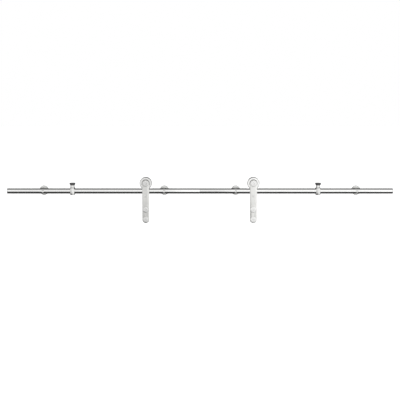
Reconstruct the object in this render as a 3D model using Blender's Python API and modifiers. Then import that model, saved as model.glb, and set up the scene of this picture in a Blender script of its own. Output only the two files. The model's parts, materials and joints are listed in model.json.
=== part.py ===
"""Sliding barn door hardware: a round bar rail in two halves on four wall mounts, with two wheeled
strap hangers and two end stops. Run with: blender --background --python part.py

Metres, +Z up. X runs along the rail, the wall is the plane Y = 0 and the room lies at -Y.
The origin is on the wall, level with the rail's axis, behind the joint between its halves.
"""

import math

import bmesh
import bpy

COLLECTION = "sliding_barn_door_hardware"
CUTTERS = "cutters"

# clearances
GAP = 0.0003  # between pieces that touch
THROUGH = 0.002  # how far a cutter runs past what it cuts
MERGE = 0.00001  # merge distance of turned shapes

# sides of round pieces
FINE = 24
MEDIUM = 16
COARSE = 12

# rail
RAIL_LENGTH = 1.830
RAIL_RADIUS = 0.0125
RAIL_WALL = 0.002
RAIL_STANDOFF = 0.038  # wall to rail axis
JOINER_LENGTH = 0.120
JOINER_WALL = 0.0025
CAP_LIP = 0.0015
CAP_CHAMFER = 0.00075
CAP_PLUG_LENGTH = 0.012
CAP_PLUG_WALL = 0.0015

# wall mounts
MOUNT_INSET = 0.170  # from each end of each rail half
ROSETTE_RADIUS = 0.0222
ROSETTE_THICKNESS = 0.006
ROSETTE_CHAMFER = 0.0012
SPACER_RADIUS = 0.011
SPACER_NOSE_RADIUS = 0.007
SPACER_WHEEL_CLEARANCE = 0.0015  # between the body and a wheel rolling past
WALL_SCREW_RADIUS = 0.003
WALL_SCREW_HEAD_RADIUS = 0.0055
WALL_SCREW_RECESS = 0.0004  # head below the rail's crest
WALL_SCREW_DEPTH = 0.045  # into the wall
WALL_SCREW_POINT = 0.006
WALL_SCREW_SOCKET = 0.004  # across flats
WALL_SCREW_SOCKET_DEPTH = 0.002

# wheels and their bearings
WHEEL_RADIUS = 0.029
WHEEL_OVERHANG = 0.0005  # each face past the rail's crest
WHEEL_GROOVE_DEPTH = 0.0045
WHEEL_CREST = 0.0005  # rounding between groove and rim
WHEEL_CHAMFER = 0.0013
WHEEL_CHAMFER_DEPTH = 0.0023
GROOVE_STEPS = 6
BEARING_RADIUS = 0.013
BEARING_WIDTH = 0.008
BEARING_BORE_RADIUS = 0.005
BALL_RADIUS = 0.0022
BALL_PITCH_RADIUS = 0.009
BALL_COUNT = 7
BALL_SIDES = 8
BALL_RINGS = 5
CAGE_SIDES = 21
BALL_PLAY = 0.00035
TRACK_STEPS = 4  # straight stretches across a ball track
RING_SHOULDER = 0.0018  # ball pitch circle to either ring's shoulder
CAGE_THICKNESS = 0.0012
CAGE_WIDTH = 0.0024
BEARING_SHOULDER_WIDTH = 0.003  # radial hold of the wheel on the outer ring
CIRCLIP_THICKNESS = 0.0012
CIRCLIP_BITE = 0.0008
CIRCLIP_WIDTH = 0.0026
CIRCLIP_OPENING = 0.006

# hangers
HANGER_X = (-0.257, 0.253)
STRAP_WIDTH = 0.033
STRAP_THICKNESS = 0.005
STRAP_WHEEL_CLEARANCE = 0.0015
STRAP_ARC_STEPS = 12
UPPER_BOLT_DROP = 0.0865  # below the rail axis
LOWER_BOLT_DROP = 0.1345
AXLE_NUT_FLATS = 0.016
AXLE_NUT_LENGTH = 0.006
AXLE_END = 0.001  # shank past the nut
AXLE_HEAD_RADIUS = 0.0142
AXLE_HEAD_HEIGHT = 0.005
AXLE_SOCKET = 0.008
AXLE_SOCKET_DEPTH = 0.003
SPACER_TUBE_WALL = 0.0017
HEAD_CHAMFER = 0.0008

# door bolts
DOOR_THICKNESS = 0.040
DOOR_BOLT_RADIUS = 0.004
DOOR_HEAD_RADIUS = 0.0142
DOOR_HEAD_HEIGHT = 0.004
DOOR_SOCKET = 0.005
DOOR_SOCKET_DEPTH = 0.0025
DOOR_NUT_BARREL_RADIUS = 0.0058
DOOR_NUT_BARREL_LENGTH = 0.024
DOOR_NUT_FLANGE_RADIUS = 0.011
DOOR_NUT_FLANGE = 0.0027
DOOR_BOLT_END = 0.003  # shank short of the door's back face

# anti-jump roller under the rail
ROLLER_RADIUS = 0.008
ROLLER_LENGTH = 0.019
ROLLER_RAIL_CLEARANCE = 0.0021
ROLLER_SCREW_RADIUS = 0.0025
ROLLER_HEAD_RADIUS = 0.0045
ROLLER_HEAD_HEIGHT = 0.0022
ROLLER_SOCKET = 0.003
ROLLER_SOCKET_DEPTH = 0.0014
ROLLER_NUT_FLATS = 0.008
ROLLER_NUT_LENGTH = 0.004
ROLLER_CHAMFER = 0.0008

# end stops
STOP_X = (-0.605, 0.560)
COLLAR_WALL = 0.0065  # metal in front of the rail and behind it
COLLAR_ROOF = 0.003  # metal above the rail
COLLAR_FLOOR = 0.005  # metal under the rail
COLLAR_WIDTH = 0.023
COLLAR_CHAMFER = 0.0008
NECK_RADIUS = 0.0095
NECK_FLARE_RADIUS = 0.0108
NECK_HEIGHT = 0.0125  # above the collar's top
NECK_FLARE_HEIGHT = 0.0016
NECK_ROOT = 0.0015  # how deep it reaches into the collar
NECK_HOLE_DEPTH = 0.010
BUMPER_BOTTOM_RADIUS = 0.0108
BUMPER_TOP_RADIUS = 0.0140
BUMPER_HEIGHT = 0.0104
BUMPER_ROUNDING = 0.0014
BUMPER_FLOOR = 0.005  # rubber under the screw's head
BUMPER_SCREW_RADIUS = 0.003
BUMPER_HEAD_RADIUS = 0.005
BUMPER_HEAD_HEIGHT = 0.0035
BUMPER_SOCKET = 0.004
BUMPER_SOCKET_DEPTH = 0.002
SET_SCREW_RADIUS = 0.0025
SET_SCREW_LENGTH = 0.0045
SET_SCREW_SOCKET = 0.0025
SET_SCREW_SOCKET_DEPTH = 0.002

# sizes that follow
HALF_RAIL = RAIL_LENGTH / 2
RAIL_Y = -RAIL_STANDOFF
MOUNT_X = (-HALF_RAIL + MOUNT_INSET, -MOUNT_INSET, MOUNT_INSET, HALF_RAIL - MOUNT_INSET)
MOUNT_NAMES = ("mount_1", "mount_2", "mount_3", "mount_4")
SIDES = ("left", "right")
WHEEL_ROOT_RADIUS = WHEEL_RADIUS - WHEEL_GROOVE_DEPTH
GROOVE_RADIUS = RAIL_RADIUS + GAP
AXLE_HEIGHT = WHEEL_ROOT_RADIUS + GROOVE_RADIUS
WHEEL_FRONT = RAIL_RADIUS + WHEEL_OVERHANG
STRAP_BACK = WHEEL_FRONT + STRAP_WHEEL_CLEARANCE
STRAP_FRONT = STRAP_BACK + STRAP_THICKNESS
INNER_RING_RADIUS = BALL_PITCH_RADIUS - RING_SHOULDER
OUTER_RING_BORE = BALL_PITCH_RADIUS + RING_SHOULDER
AXLE_RADIUS = BEARING_BORE_RADIUS
ROLLER_DROP = RAIL_RADIUS + ROLLER_RAIL_CLEARANCE + ROLLER_RADIUS
DOOR_FRONT = STRAP_BACK - GAP
DOOR_BACK = DOOR_FRONT - DOOR_THICKNESS
COLLAR_DEPTH = 2 * (RAIL_RADIUS + COLLAR_WALL)
COLLAR_TOP = RAIL_RADIUS + COLLAR_ROOF
COLLAR_BOTTOM = -(RAIL_RADIUS + COLLAR_FLOOR)
NECK_TOP = COLLAR_TOP + NECK_HEIGHT

# turns that lay a shape's own +Z along an axis of the frame
ALONG_X = (0.0, math.pi / 2, 0.0)
AGAINST_X = (0.0, -math.pi / 2, 0.0)
TOWARDS_ROOM = (math.pi / 2, 0.0, 0.0)
UPRIGHT = (0.0, 0.0, 0.0)
UPSIDE_DOWN = (math.pi, 0.0, 0.0)


def clear_scene():
    """Removes what the scene starts with."""
    for obj in list(bpy.data.objects):
        bpy.data.objects.remove(obj, do_unlink=True)


def new_collection(name):
    """A collection linked to the scene."""
    collection = bpy.data.collections.new(name)
    bpy.context.scene.collection.children.link(collection)
    return collection


def new_material(name, colour, roughness, metallic):
    """A Principled material of one finish."""
    material = bpy.data.materials.new(name)
    material.use_nodes = True
    shader = material.node_tree.nodes["Principled BSDF"]
    shader.inputs["Base Color"].default_value = (*colour, 1.0)
    shader.inputs["Roughness"].default_value = roughness
    shader.inputs["Metallic"].default_value = metallic
    material.diffuse_color = (*colour, 1.0)
    return material


def across_corners(flats):
    """Radius of a hexagon's corners from its width across flats."""
    return flats / math.sqrt(3)


class Shop:
    """Makes the parts and the cutters, and puts each in its collection."""

    def __init__(self):
        clear_scene()
        self.parts = new_collection(COLLECTION)
        self.cutters = new_collection(CUTTERS)
        self.finishes = {
            "rail": ((0.60, 0.60, 0.59), 0.28, 1.0),
            "strap": ((0.66, 0.66, 0.64), 0.34, 1.0),
            "wheel": ((0.62, 0.62, 0.61), 0.26, 1.0),
            "mount": ((0.64, 0.64, 0.62), 0.30, 1.0),
            "fastener": ((0.58, 0.58, 0.57), 0.30, 1.0),
            "bearing": ((0.50, 0.50, 0.51), 0.20, 1.0),
            "rubber": ((0.03, 0.03, 0.03), 0.75, 0.0),
            "nylon": ((0.05, 0.05, 0.05), 0.50, 0.0),
        }

    def finish(self, name, finish):
        """The piece's own material."""
        return new_material(f"{name}_finish", *self.finishes[finish])

    def empty(self, name, location):
        """An empty that carries the pieces of one moving body."""
        obj = bpy.data.objects.new(name, None)
        obj.location = location
        self.parts.objects.link(obj)
        return obj

    def add(self, name, mesh, finish=None, parent=None, location=(0, 0, 0), turn=UPRIGHT):
        """A placed object: a part where a finish is named, else a cutter."""
        obj = bpy.data.objects.new(name, mesh)
        obj.location = location
        obj.rotation_euler = turn
        obj.parent = parent
        if finish is None:
            obj.hide_render = True
            obj.display_type = "WIRE"
            self.cutters.objects.link(obj)
        else:
            mesh.materials.append(self.finish(name, finish))
            self.parts.objects.link(obj)
        return obj

    def turned(self, name, profile, closed, sides, **place):
        """A turned shape. Its profile of (radius, height) runs down the outer side."""
        mesh = bpy.data.meshes.new(name)
        count = len(profile)
        edges = [(i, i + 1) for i in range(count - 1)]
        if closed:
            edges.append((count - 1, 0))
        mesh.from_pydata([(radius, 0.0, height) for radius, height in profile], edges, [])
        obj = self.add(name, mesh, **place)
        screw = obj.modifiers.new("turn", "SCREW")
        screw.axis = "Z"
        screw.angle = 2 * math.pi
        screw.steps = sides
        screw.render_steps = sides
        screw.use_merge_vertices = True
        screw.merge_threshold = MERGE
        return obj

    def disc(self, name, radius, bottom, top, sides, **place):
        """A plain turned solid between two heights."""
        profile = [(0.0, top), (radius, top), (radius, bottom), (0.0, bottom)]
        return self.turned(name, profile, False, sides, **place)

    def sleeve(self, name, bore, radius, bottom, top, sides, **place):
        """A plain turned tube between two heights."""
        profile = [(radius, top), (radius, bottom), (bore, bottom), (bore, top)]
        return self.turned(name, profile, True, sides, **place)

    def hexagon(self, name, flats, bottom, top, **place):
        """A hexagonal prism between two heights."""
        mesh = bpy.data.meshes.new(name)
        shape = bmesh.new()
        corner = across_corners(flats)
        bmesh.ops.create_cone(
            shape, cap_ends=True, segments=6, radius1=corner, radius2=corner, depth=top - bottom
        )
        bmesh.ops.translate(shape, verts=shape.verts, vec=(0.0, 0.0, (top + bottom) / 2))
        shape.to_mesh(mesh)
        shape.free()
        return self.add(name, mesh, **place)

    def box(self, name, size, centre, **place):
        """A box of a size about a centre."""
        mesh = bpy.data.meshes.new(name)
        shape = bmesh.new()
        bmesh.ops.create_cube(shape, size=1.0)
        bmesh.ops.scale(shape, verts=shape.verts, vec=size)
        bmesh.ops.translate(shape, verts=shape.verts, vec=centre)
        shape.to_mesh(mesh)
        shape.free()
        return self.add(name, mesh, **place)

    def plate(self, name, outline, thickness, **place):
        """A flat outline made solid, centred on its own plane, as a mesh that can be cut."""
        curve = bpy.data.curves.new(f"{name}_outline", "CURVE")
        curve.dimensions = "2D"
        curve.fill_mode = "BOTH"
        curve.extrude = thickness / 2
        spline = curve.splines.new("POLY")
        spline.points.add(len(outline) - 1)
        for point, (across, along) in zip(spline.points, outline):
            point.co = (across, along, 0.0, 1.0)
        spline.use_cyclic_u = True
        guide = bpy.data.objects.new(f"{name}_outline", curve)
        self.cutters.objects.link(guide)
        evaluated = guide.evaluated_get(bpy.context.evaluated_depsgraph_get())
        mesh = bpy.data.meshes.new_from_object(evaluated)
        shape = bmesh.new()
        shape.from_mesh(mesh)
        bmesh.ops.remove_doubles(shape, verts=shape.verts, dist=MERGE)
        bmesh.ops.recalc_face_normals(shape, faces=shape.faces)
        shape.to_mesh(mesh)
        shape.free()
        bpy.data.objects.remove(guide, do_unlink=True)
        return self.add(name, mesh, **place)


def boolean(target, other, operation):
    """Joins another shape to the target or cuts it away."""
    modifier = target.modifiers.new(other.name, "BOOLEAN")
    modifier.operation = operation
    modifier.solver = "EXACT"
    modifier.object = other


def cut(target, *cutters):
    """Cuts each cutter away from the target."""
    for cutter in cutters:
        boolean(target, cutter, "DIFFERENCE")


def smooth(obj):
    """Smooth shading with sharp corners, for a shape that is turned."""
    obj.data.shade_smooth()
    obj.data.set_sharp_from_angle(angle=math.radians(35))


def capped_bolt(shop, name, head, shank, socket, **place):
    """A bolt with a round head on +Z, its underside at height 0, and a hexagon socket.

    head is (radius, height, chamfer), shank is (radius, length), socket is (flats, depth).
    """
    head_radius, head_height, chamfer = head
    shank_radius, length = shank
    flats, depth = socket
    profile = [
        (0.0, head_height),
        (head_radius - chamfer, head_height),
        (head_radius, head_height - chamfer),
        (head_radius, 0.0),
        (shank_radius, 0.0),
        (shank_radius, -length),
        (0.0, -length),
    ]
    bolt = shop.turned(name, profile, False, MEDIUM, **place)
    where = {key: place[key] for key in ("parent", "location", "turn") if key in place}
    bottom = head_height - depth
    cut(bolt, shop.hexagon(f"{name}_socket", flats, bottom, head_height + THROUGH, **where))
    return bolt


def countersunk_profile(grow):
    """The wall screw's head and shank, heights from the rail axis towards the room."""
    crest = RAIL_RADIUS - WALL_SCREW_RECESS
    cone = WALL_SCREW_HEAD_RADIUS - WALL_SCREW_RADIUS
    return [
        (WALL_SCREW_HEAD_RADIUS + grow, crest),
        (WALL_SCREW_RADIUS + grow, crest - cone),
    ]


def build_rail(shop):
    """The rail's two halves, the joiner inside them and the plugs in their ends."""
    inner = RAIL_RADIUS - RAIL_WALL
    end = HALF_RAIL - CAP_LIP - GAP
    for side, sign in zip(SIDES, (-1, 1)):
        near, far = sorted((sign * GAP / 2, sign * end))
        rail = shop.sleeve(
            f"rail_{side}", inner, RAIL_RADIUS, near, far, FINE,
            finish="rail", location=(0, RAIL_Y, 0), turn=ALONG_X,
        )
        for name, x in zip(MOUNT_NAMES, MOUNT_X):
            if x * sign > 0:
                cut(rail, rail_hole(shop, name, x))
    joiner = shop.sleeve(
        "rail_joiner", inner - GAP - JOINER_WALL, inner - GAP, -JOINER_LENGTH / 2, JOINER_LENGTH / 2,
        MEDIUM, finish="fastener", location=(0, RAIL_Y, 0), turn=ALONG_X,
    )
    smooth(joiner)
    for side, sign in zip(SIDES, (-1, 1)):
        plug = inner - GAP
        start = HALF_RAIL - CAP_LIP
        profile = [
            (0.0, HALF_RAIL),
            (RAIL_RADIUS - CAP_CHAMFER, HALF_RAIL),
            (RAIL_RADIUS, HALF_RAIL - CAP_CHAMFER),
            (RAIL_RADIUS, start),
            (plug, start),
            (plug, start - CAP_PLUG_LENGTH),
            (plug - CAP_PLUG_WALL, start - CAP_PLUG_LENGTH),
            (plug - CAP_PLUG_WALL, start),
            (0.0, start),
        ]
        shop.turned(
            f"end_cap_{side}", profile, False, FINE,
            finish="fastener", location=(0, RAIL_Y, 0), turn=ALONG_X if sign > 0 else AGAINST_X,
        )


def rail_hole(shop, name, x):
    """The countersunk hole through both walls of the rail at one mount."""
    past = RAIL_RADIUS + THROUGH
    head, neck = countersunk_profile(GAP)
    profile = [(0.0, past), (head[0], past), head, neck, (neck[0], -past), (0.0, -past)]
    return shop.turned(
        f"{name}_rail_hole", profile, False, MEDIUM, location=(x, RAIL_Y, 0), turn=TOWARDS_ROOM
    )


def build_mounts(shop):
    """Each wall mount: a rosette on the wall, a saddled spacer and the screw through them."""
    bore = WALL_SCREW_RADIUS + GAP
    tip = math.sqrt(GROOVE_RADIUS**2 - SPACER_NOSE_RADIUS**2)
    blank = RAIL_STANDOFF - tip + THROUGH
    body = RAIL_STANDOFF - WHEEL_FRONT - SPACER_WHEEL_CLEARANCE
    seat = ROSETTE_THICKNESS + GAP
    for name, x in zip(MOUNT_NAMES, MOUNT_X):
        rosette = [
            (ROSETTE_RADIUS - ROSETTE_CHAMFER, ROSETTE_THICKNESS),
            (ROSETTE_RADIUS, ROSETTE_THICKNESS - ROSETTE_CHAMFER),
            (ROSETTE_RADIUS, 0.0),
            (bore, 0.0),
            (bore, ROSETTE_THICKNESS),
        ]
        smooth(shop.turned(
            f"{name}_rosette", rosette, True, FINE,
            finish="mount", location=(x, 0, 0), turn=TOWARDS_ROOM,
        ))
        spacer_profile = [
            (SPACER_NOSE_RADIUS, blank),
            (SPACER_NOSE_RADIUS, body),
            (SPACER_RADIUS, body),
            (SPACER_RADIUS, seat),
            (bore, seat),
            (bore, blank),
        ]
        spacer = shop.turned(
            f"{name}_spacer", spacer_profile, True, MEDIUM,
            finish="mount", location=(x, 0, 0), turn=TOWARDS_ROOM,
        )
        cut(spacer, shop.disc(
            f"{name}_saddle", GROOVE_RADIUS, -SPACER_RADIUS - THROUGH, SPACER_RADIUS + THROUGH,
            FINE, location=(x, RAIL_Y, 0), turn=ALONG_X,
        ))
        head, neck = countersunk_profile(0.0)
        tail = -RAIL_STANDOFF - WALL_SCREW_DEPTH
        screw_profile = [
            (0.0, head[1]),
            head,
            neck,
            (neck[0], tail + WALL_SCREW_POINT),
            (0.0, tail),
        ]
        screw = shop.turned(
            f"{name}_screw", screw_profile, False, COARSE,
            finish="fastener", location=(x, RAIL_Y, 0), turn=TOWARDS_ROOM,
        )
        cut(screw, shop.hexagon(
            f"{name}_screw_socket", WALL_SCREW_SOCKET, head[1] - WALL_SCREW_SOCKET_DEPTH,
            head[1] + THROUGH, location=(x, RAIL_Y, 0), turn=TOWARDS_ROOM,
        ))


def stadium(width, top, bottom):
    """Outline of a bar with round ends, whose end centres are at two heights."""
    radius = width / 2
    points = []
    for centre, start in ((top, 0.0), (bottom, math.pi)):
        for step in range(STRAP_ARC_STEPS + 1):
            angle = start + math.pi * step / STRAP_ARC_STEPS
            points.append((radius * math.cos(angle), centre + radius * math.sin(angle)))
    return points


def wheel_profile():
    """The grooved wheel's section, heights from its middle plane towards the room."""
    crest = WHEEL_RADIUS - WHEEL_CREST
    reach = AXLE_HEIGHT - crest
    edge = math.sqrt(GROOVE_RADIUS**2 - reach**2)
    half_angle = math.asin(edge / GROOVE_RADIUS)
    groove = []
    for step in range(GROOVE_STEPS + 1):
        angle = half_angle * (1 - 2 * step / GROOVE_STEPS)
        groove.append((AXLE_HEIGHT - GROOVE_RADIUS * math.cos(angle), GROOVE_RADIUS * math.sin(angle)))
    seat = BEARING_RADIUS + GAP
    half_bearing = BEARING_WIDTH / 2
    clip_front = -half_bearing
    clip_back = clip_front - CIRCLIP_THICKNESS - 2 * GAP
    clip_groove = seat + CIRCLIP_BITE + GAP
    outer = [
        (WHEEL_RADIUS - WHEEL_CHAMFER, WHEEL_FRONT),
        (WHEEL_RADIUS, WHEEL_FRONT - WHEEL_CHAMFER_DEPTH),
        (WHEEL_RADIUS, edge + WHEEL_CREST),
        *groove,
        (WHEEL_RADIUS, -edge - WHEEL_CREST),
        (WHEEL_RADIUS, -WHEEL_FRONT + WHEEL_CHAMFER_DEPTH),
        (WHEEL_RADIUS - WHEEL_CHAMFER, -WHEEL_FRONT),
    ]
    bore = [
        (seat, -WHEEL_FRONT),
        (seat, clip_back),
        (clip_groove, clip_back),
        (clip_groove, clip_front),
        (seat, clip_front),
        (seat, half_bearing + GAP),
        (BEARING_RADIUS - BEARING_SHOULDER_WIDTH, half_bearing + GAP),
        (BEARING_RADIUS - BEARING_SHOULDER_WIDTH, WHEEL_FRONT),
    ]
    return outer + bore


def race_profile(shoulder, outer_side, wall_radius):
    """A bearing ring's section, with the ball track on its shoulder side."""
    half = BEARING_WIDTH / 2
    track = BALL_RADIUS + BALL_PLAY
    away = 1 if outer_side else -1
    rim_angle = math.acos(RING_SHOULDER / track)
    ball_track = []
    for step in range(TRACK_STEPS + 1):
        angle = rim_angle * (1 - 2 * step / TRACK_STEPS)
        reach = away * track * math.cos(angle)
        ball_track.append((BALL_PITCH_RADIUS + reach, track * math.sin(angle)))
    if outer_side:
        faces = [(wall_radius, half), (wall_radius, -half), (shoulder, -half)]
        return faces + ball_track[::-1] + [(shoulder, half)]
    faces = [(shoulder, -half), (wall_radius, -half), (wall_radius, half)]
    return [(shoulder, half)] + ball_track + faces


def build_ball_cage(shop, name, **place):
    """The balls of one bearing, held by their cage."""
    cage = shop.sleeve(
        name, BALL_PITCH_RADIUS - CAGE_THICKNESS / 2, BALL_PITCH_RADIUS + CAGE_THICKNESS / 2,
        -CAGE_WIDTH / 2, CAGE_WIDTH / 2, CAGE_SIDES, finish="bearing", **place,
    )
    mesh = bpy.data.meshes.new(f"{name}_balls")
    shape = bmesh.new()
    for ball in range(BALL_COUNT):
        angle = 2 * math.pi * ball / BALL_COUNT
        made = bmesh.ops.create_uvsphere(
            shape, u_segments=BALL_SIDES, v_segments=BALL_RINGS, radius=BALL_RADIUS
        )
        centre = (BALL_PITCH_RADIUS * math.cos(angle), BALL_PITCH_RADIUS * math.sin(angle), 0.0)
        bmesh.ops.translate(shape, verts=made["verts"], vec=centre)
    shape.to_mesh(mesh)
    shape.free()
    boolean(cage, shop.add(f"{name}_balls", mesh, **place), "UNION")


def build_hanger(shop, side, x):
    """One hanger: the strap with its fixings, the wheel on its bearing, and the roller."""
    hanger = shop.empty(f"{side}_hanger", (x, RAIL_Y, 0))
    axle = {"parent": hanger, "location": (0, 0, AXLE_HEIGHT), "turn": TOWARDS_ROOM}

    strap = shop.plate(
        f"{side}_strap", stadium(STRAP_WIDTH, AXLE_HEIGHT, -LOWER_BOLT_DROP), STRAP_THICKNESS,
        finish="strap", parent=hanger, location=(0, -(STRAP_BACK + STRAP_THICKNESS / 2), 0),
        turn=TOWARDS_ROOM,
    )
    holes = (
        ("axle", AXLE_HEIGHT, AXLE_RADIUS),
        ("roller", -ROLLER_DROP, ROLLER_SCREW_RADIUS),
        ("upper", -UPPER_BOLT_DROP, DOOR_BOLT_RADIUS),
        ("lower", -LOWER_BOLT_DROP, DOOR_BOLT_RADIUS),
    )
    for hole, height, radius in holes:
        cut(strap, shop.disc(
            f"{side}_{hole}_hole", radius + GAP, STRAP_BACK - THROUGH, STRAP_FRONT + THROUGH,
            COARSE, parent=hanger, location=(0, 0, height), turn=TOWARDS_ROOM,
        ))

    wheel = shop.turned(f"{side}_wheel", wheel_profile(), True, FINE, finish="wheel", **axle)
    smooth(wheel)
    build_bearing(shop, side, axle)
    build_axle(shop, side, hanger, axle)
    build_roller(shop, side, hanger)
    for bolt, drop in (("upper", UPPER_BOLT_DROP), ("lower", LOWER_BOLT_DROP)):
        build_door_fixing(shop, f"{side}_{bolt}", hanger, drop)


def build_bearing(shop, name, axle):
    """The ball bearing in the wheel and the circlip that keeps it there."""
    outer = race_profile(OUTER_RING_BORE, True, BEARING_RADIUS)
    inner = race_profile(INNER_RING_RADIUS, False, BEARING_BORE_RADIUS + GAP)
    smooth(shop.turned(f"{name}_bearing_outer_ring", outer, True, MEDIUM, finish="bearing", **axle))
    smooth(shop.turned(f"{name}_bearing_inner_ring", inner, True, MEDIUM, finish="bearing", **axle))
    build_ball_cage(shop, f"{name}_ball_cage", **axle)
    rim = BEARING_RADIUS + GAP + CIRCLIP_BITE
    front = -BEARING_WIDTH / 2 - GAP
    back = front - CIRCLIP_THICKNESS
    clip = shop.sleeve(
        f"{name}_circlip", rim - CIRCLIP_WIDTH, rim, back, front, MEDIUM, finish="fastener", **axle
    )
    size = (CIRCLIP_OPENING, 2 * rim, CIRCLIP_THICKNESS + 2 * THROUGH)
    centre = (0, -rim, (front + back) / 2)
    cut(clip, shop.box(f"{name}_circlip_opening", size, centre, **axle))


def build_axle(shop, name, hanger, axle):
    """The bolt that the wheel turns on, with its spacer and nut."""
    inner_face = BEARING_WIDTH / 2 + GAP
    nut_end = inner_face + AXLE_NUT_LENGTH
    head_seat = STRAP_FRONT + GAP
    head = (AXLE_HEAD_RADIUS, AXLE_HEAD_HEIGHT, HEAD_CHAMFER)
    shank = (AXLE_RADIUS, head_seat + nut_end + AXLE_END)
    smooth(capped_bolt(
        shop, f"{name}_axle_bolt", head, shank, (AXLE_SOCKET, AXLE_SOCKET_DEPTH), finish="fastener",
        parent=hanger, location=(0, -head_seat, AXLE_HEIGHT), turn=TOWARDS_ROOM,
    ))
    bore = AXLE_RADIUS + GAP
    smooth(shop.sleeve(
        f"{name}_axle_spacer", bore, bore + SPACER_TUBE_WALL, inner_face, STRAP_BACK - GAP, MEDIUM,
        finish="fastener", **axle,
    ))
    nut = shop.hexagon(f"{name}_axle_nut", AXLE_NUT_FLATS, -nut_end, -inner_face, finish="fastener", **axle)
    cut(nut, shop.disc(
        f"{name}_axle_nut_bore", bore, -nut_end - THROUGH, -inner_face + THROUGH, MEDIUM, **axle
    ))


def build_roller(shop, name, hanger):
    """The roller under the rail that keeps the wheel from jumping off it."""
    place = {"parent": hanger, "location": (0, 0, -ROLLER_DROP), "turn": TOWARDS_ROOM}
    front = STRAP_BACK - GAP
    back = front - ROLLER_LENGTH
    bore = ROLLER_SCREW_RADIUS + GAP
    profile = [
        (ROLLER_RADIUS - ROLLER_CHAMFER, front),
        (ROLLER_RADIUS, front - ROLLER_CHAMFER),
        (ROLLER_RADIUS, back + ROLLER_CHAMFER),
        (ROLLER_RADIUS - ROLLER_CHAMFER, back),
        (bore, back),
        (bore, front),
    ]
    smooth(shop.turned(f"{name}_anti_jump_roller", profile, True, MEDIUM, finish="nylon", **place))
    nut_front = back - GAP
    nut_back = nut_front - ROLLER_NUT_LENGTH
    nut = shop.hexagon(
        f"{name}_anti_jump_nut", ROLLER_NUT_FLATS, nut_back, nut_front, finish="fastener", **place
    )
    cut(nut, shop.disc(
        f"{name}_anti_jump_nut_bore", bore, nut_back - THROUGH, nut_front + THROUGH, COARSE, **place
    ))
    head_seat = STRAP_FRONT + GAP
    head = (ROLLER_HEAD_RADIUS, ROLLER_HEAD_HEIGHT, HEAD_CHAMFER)
    shank = (ROLLER_SCREW_RADIUS, head_seat - nut_back + AXLE_END)
    smooth(capped_bolt(
        shop, f"{name}_anti_jump_screw", head, shank, (ROLLER_SOCKET, ROLLER_SOCKET_DEPTH),
        finish="fastener", parent=hanger, location=(0, -head_seat, -ROLLER_DROP), turn=TOWARDS_ROOM,
    ))


def build_door_fixing(shop, name, hanger, drop):
    """One door bolt and the sleeve nut behind the door."""
    head_seat = STRAP_FRONT + GAP
    head = (DOOR_HEAD_RADIUS, DOOR_HEAD_HEIGHT, HEAD_CHAMFER)
    shank = (DOOR_BOLT_RADIUS, head_seat - DOOR_BACK - DOOR_BOLT_END)
    smooth(capped_bolt(
        shop, f"{name}_door_bolt", head, shank, (DOOR_SOCKET, DOOR_SOCKET_DEPTH), finish="fastener",
        parent=hanger, location=(0, -head_seat, -drop), turn=TOWARDS_ROOM,
    ))
    back = DOOR_BACK - DOOR_NUT_FLANGE
    bore = DOOR_BOLT_RADIUS + GAP
    mouth = DOOR_BACK + DOOR_NUT_BARREL_LENGTH
    profile = [
        (0.0, DOOR_BACK),
        (bore, DOOR_BACK),
        (bore, mouth),
        (DOOR_NUT_BARREL_RADIUS, mouth),
        (DOOR_NUT_BARREL_RADIUS, DOOR_BACK),
        (DOOR_NUT_FLANGE_RADIUS, DOOR_BACK),
        (DOOR_NUT_FLANGE_RADIUS, back + HEAD_CHAMFER),
        (DOOR_NUT_FLANGE_RADIUS - HEAD_CHAMFER, back),
        (0.0, back),
    ]
    smooth(shop.turned(
        f"{name}_door_nut", profile, False, MEDIUM, finish="fastener",
        parent=hanger, location=(0, 0, -drop), turn=TOWARDS_ROOM,
    ))


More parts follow.
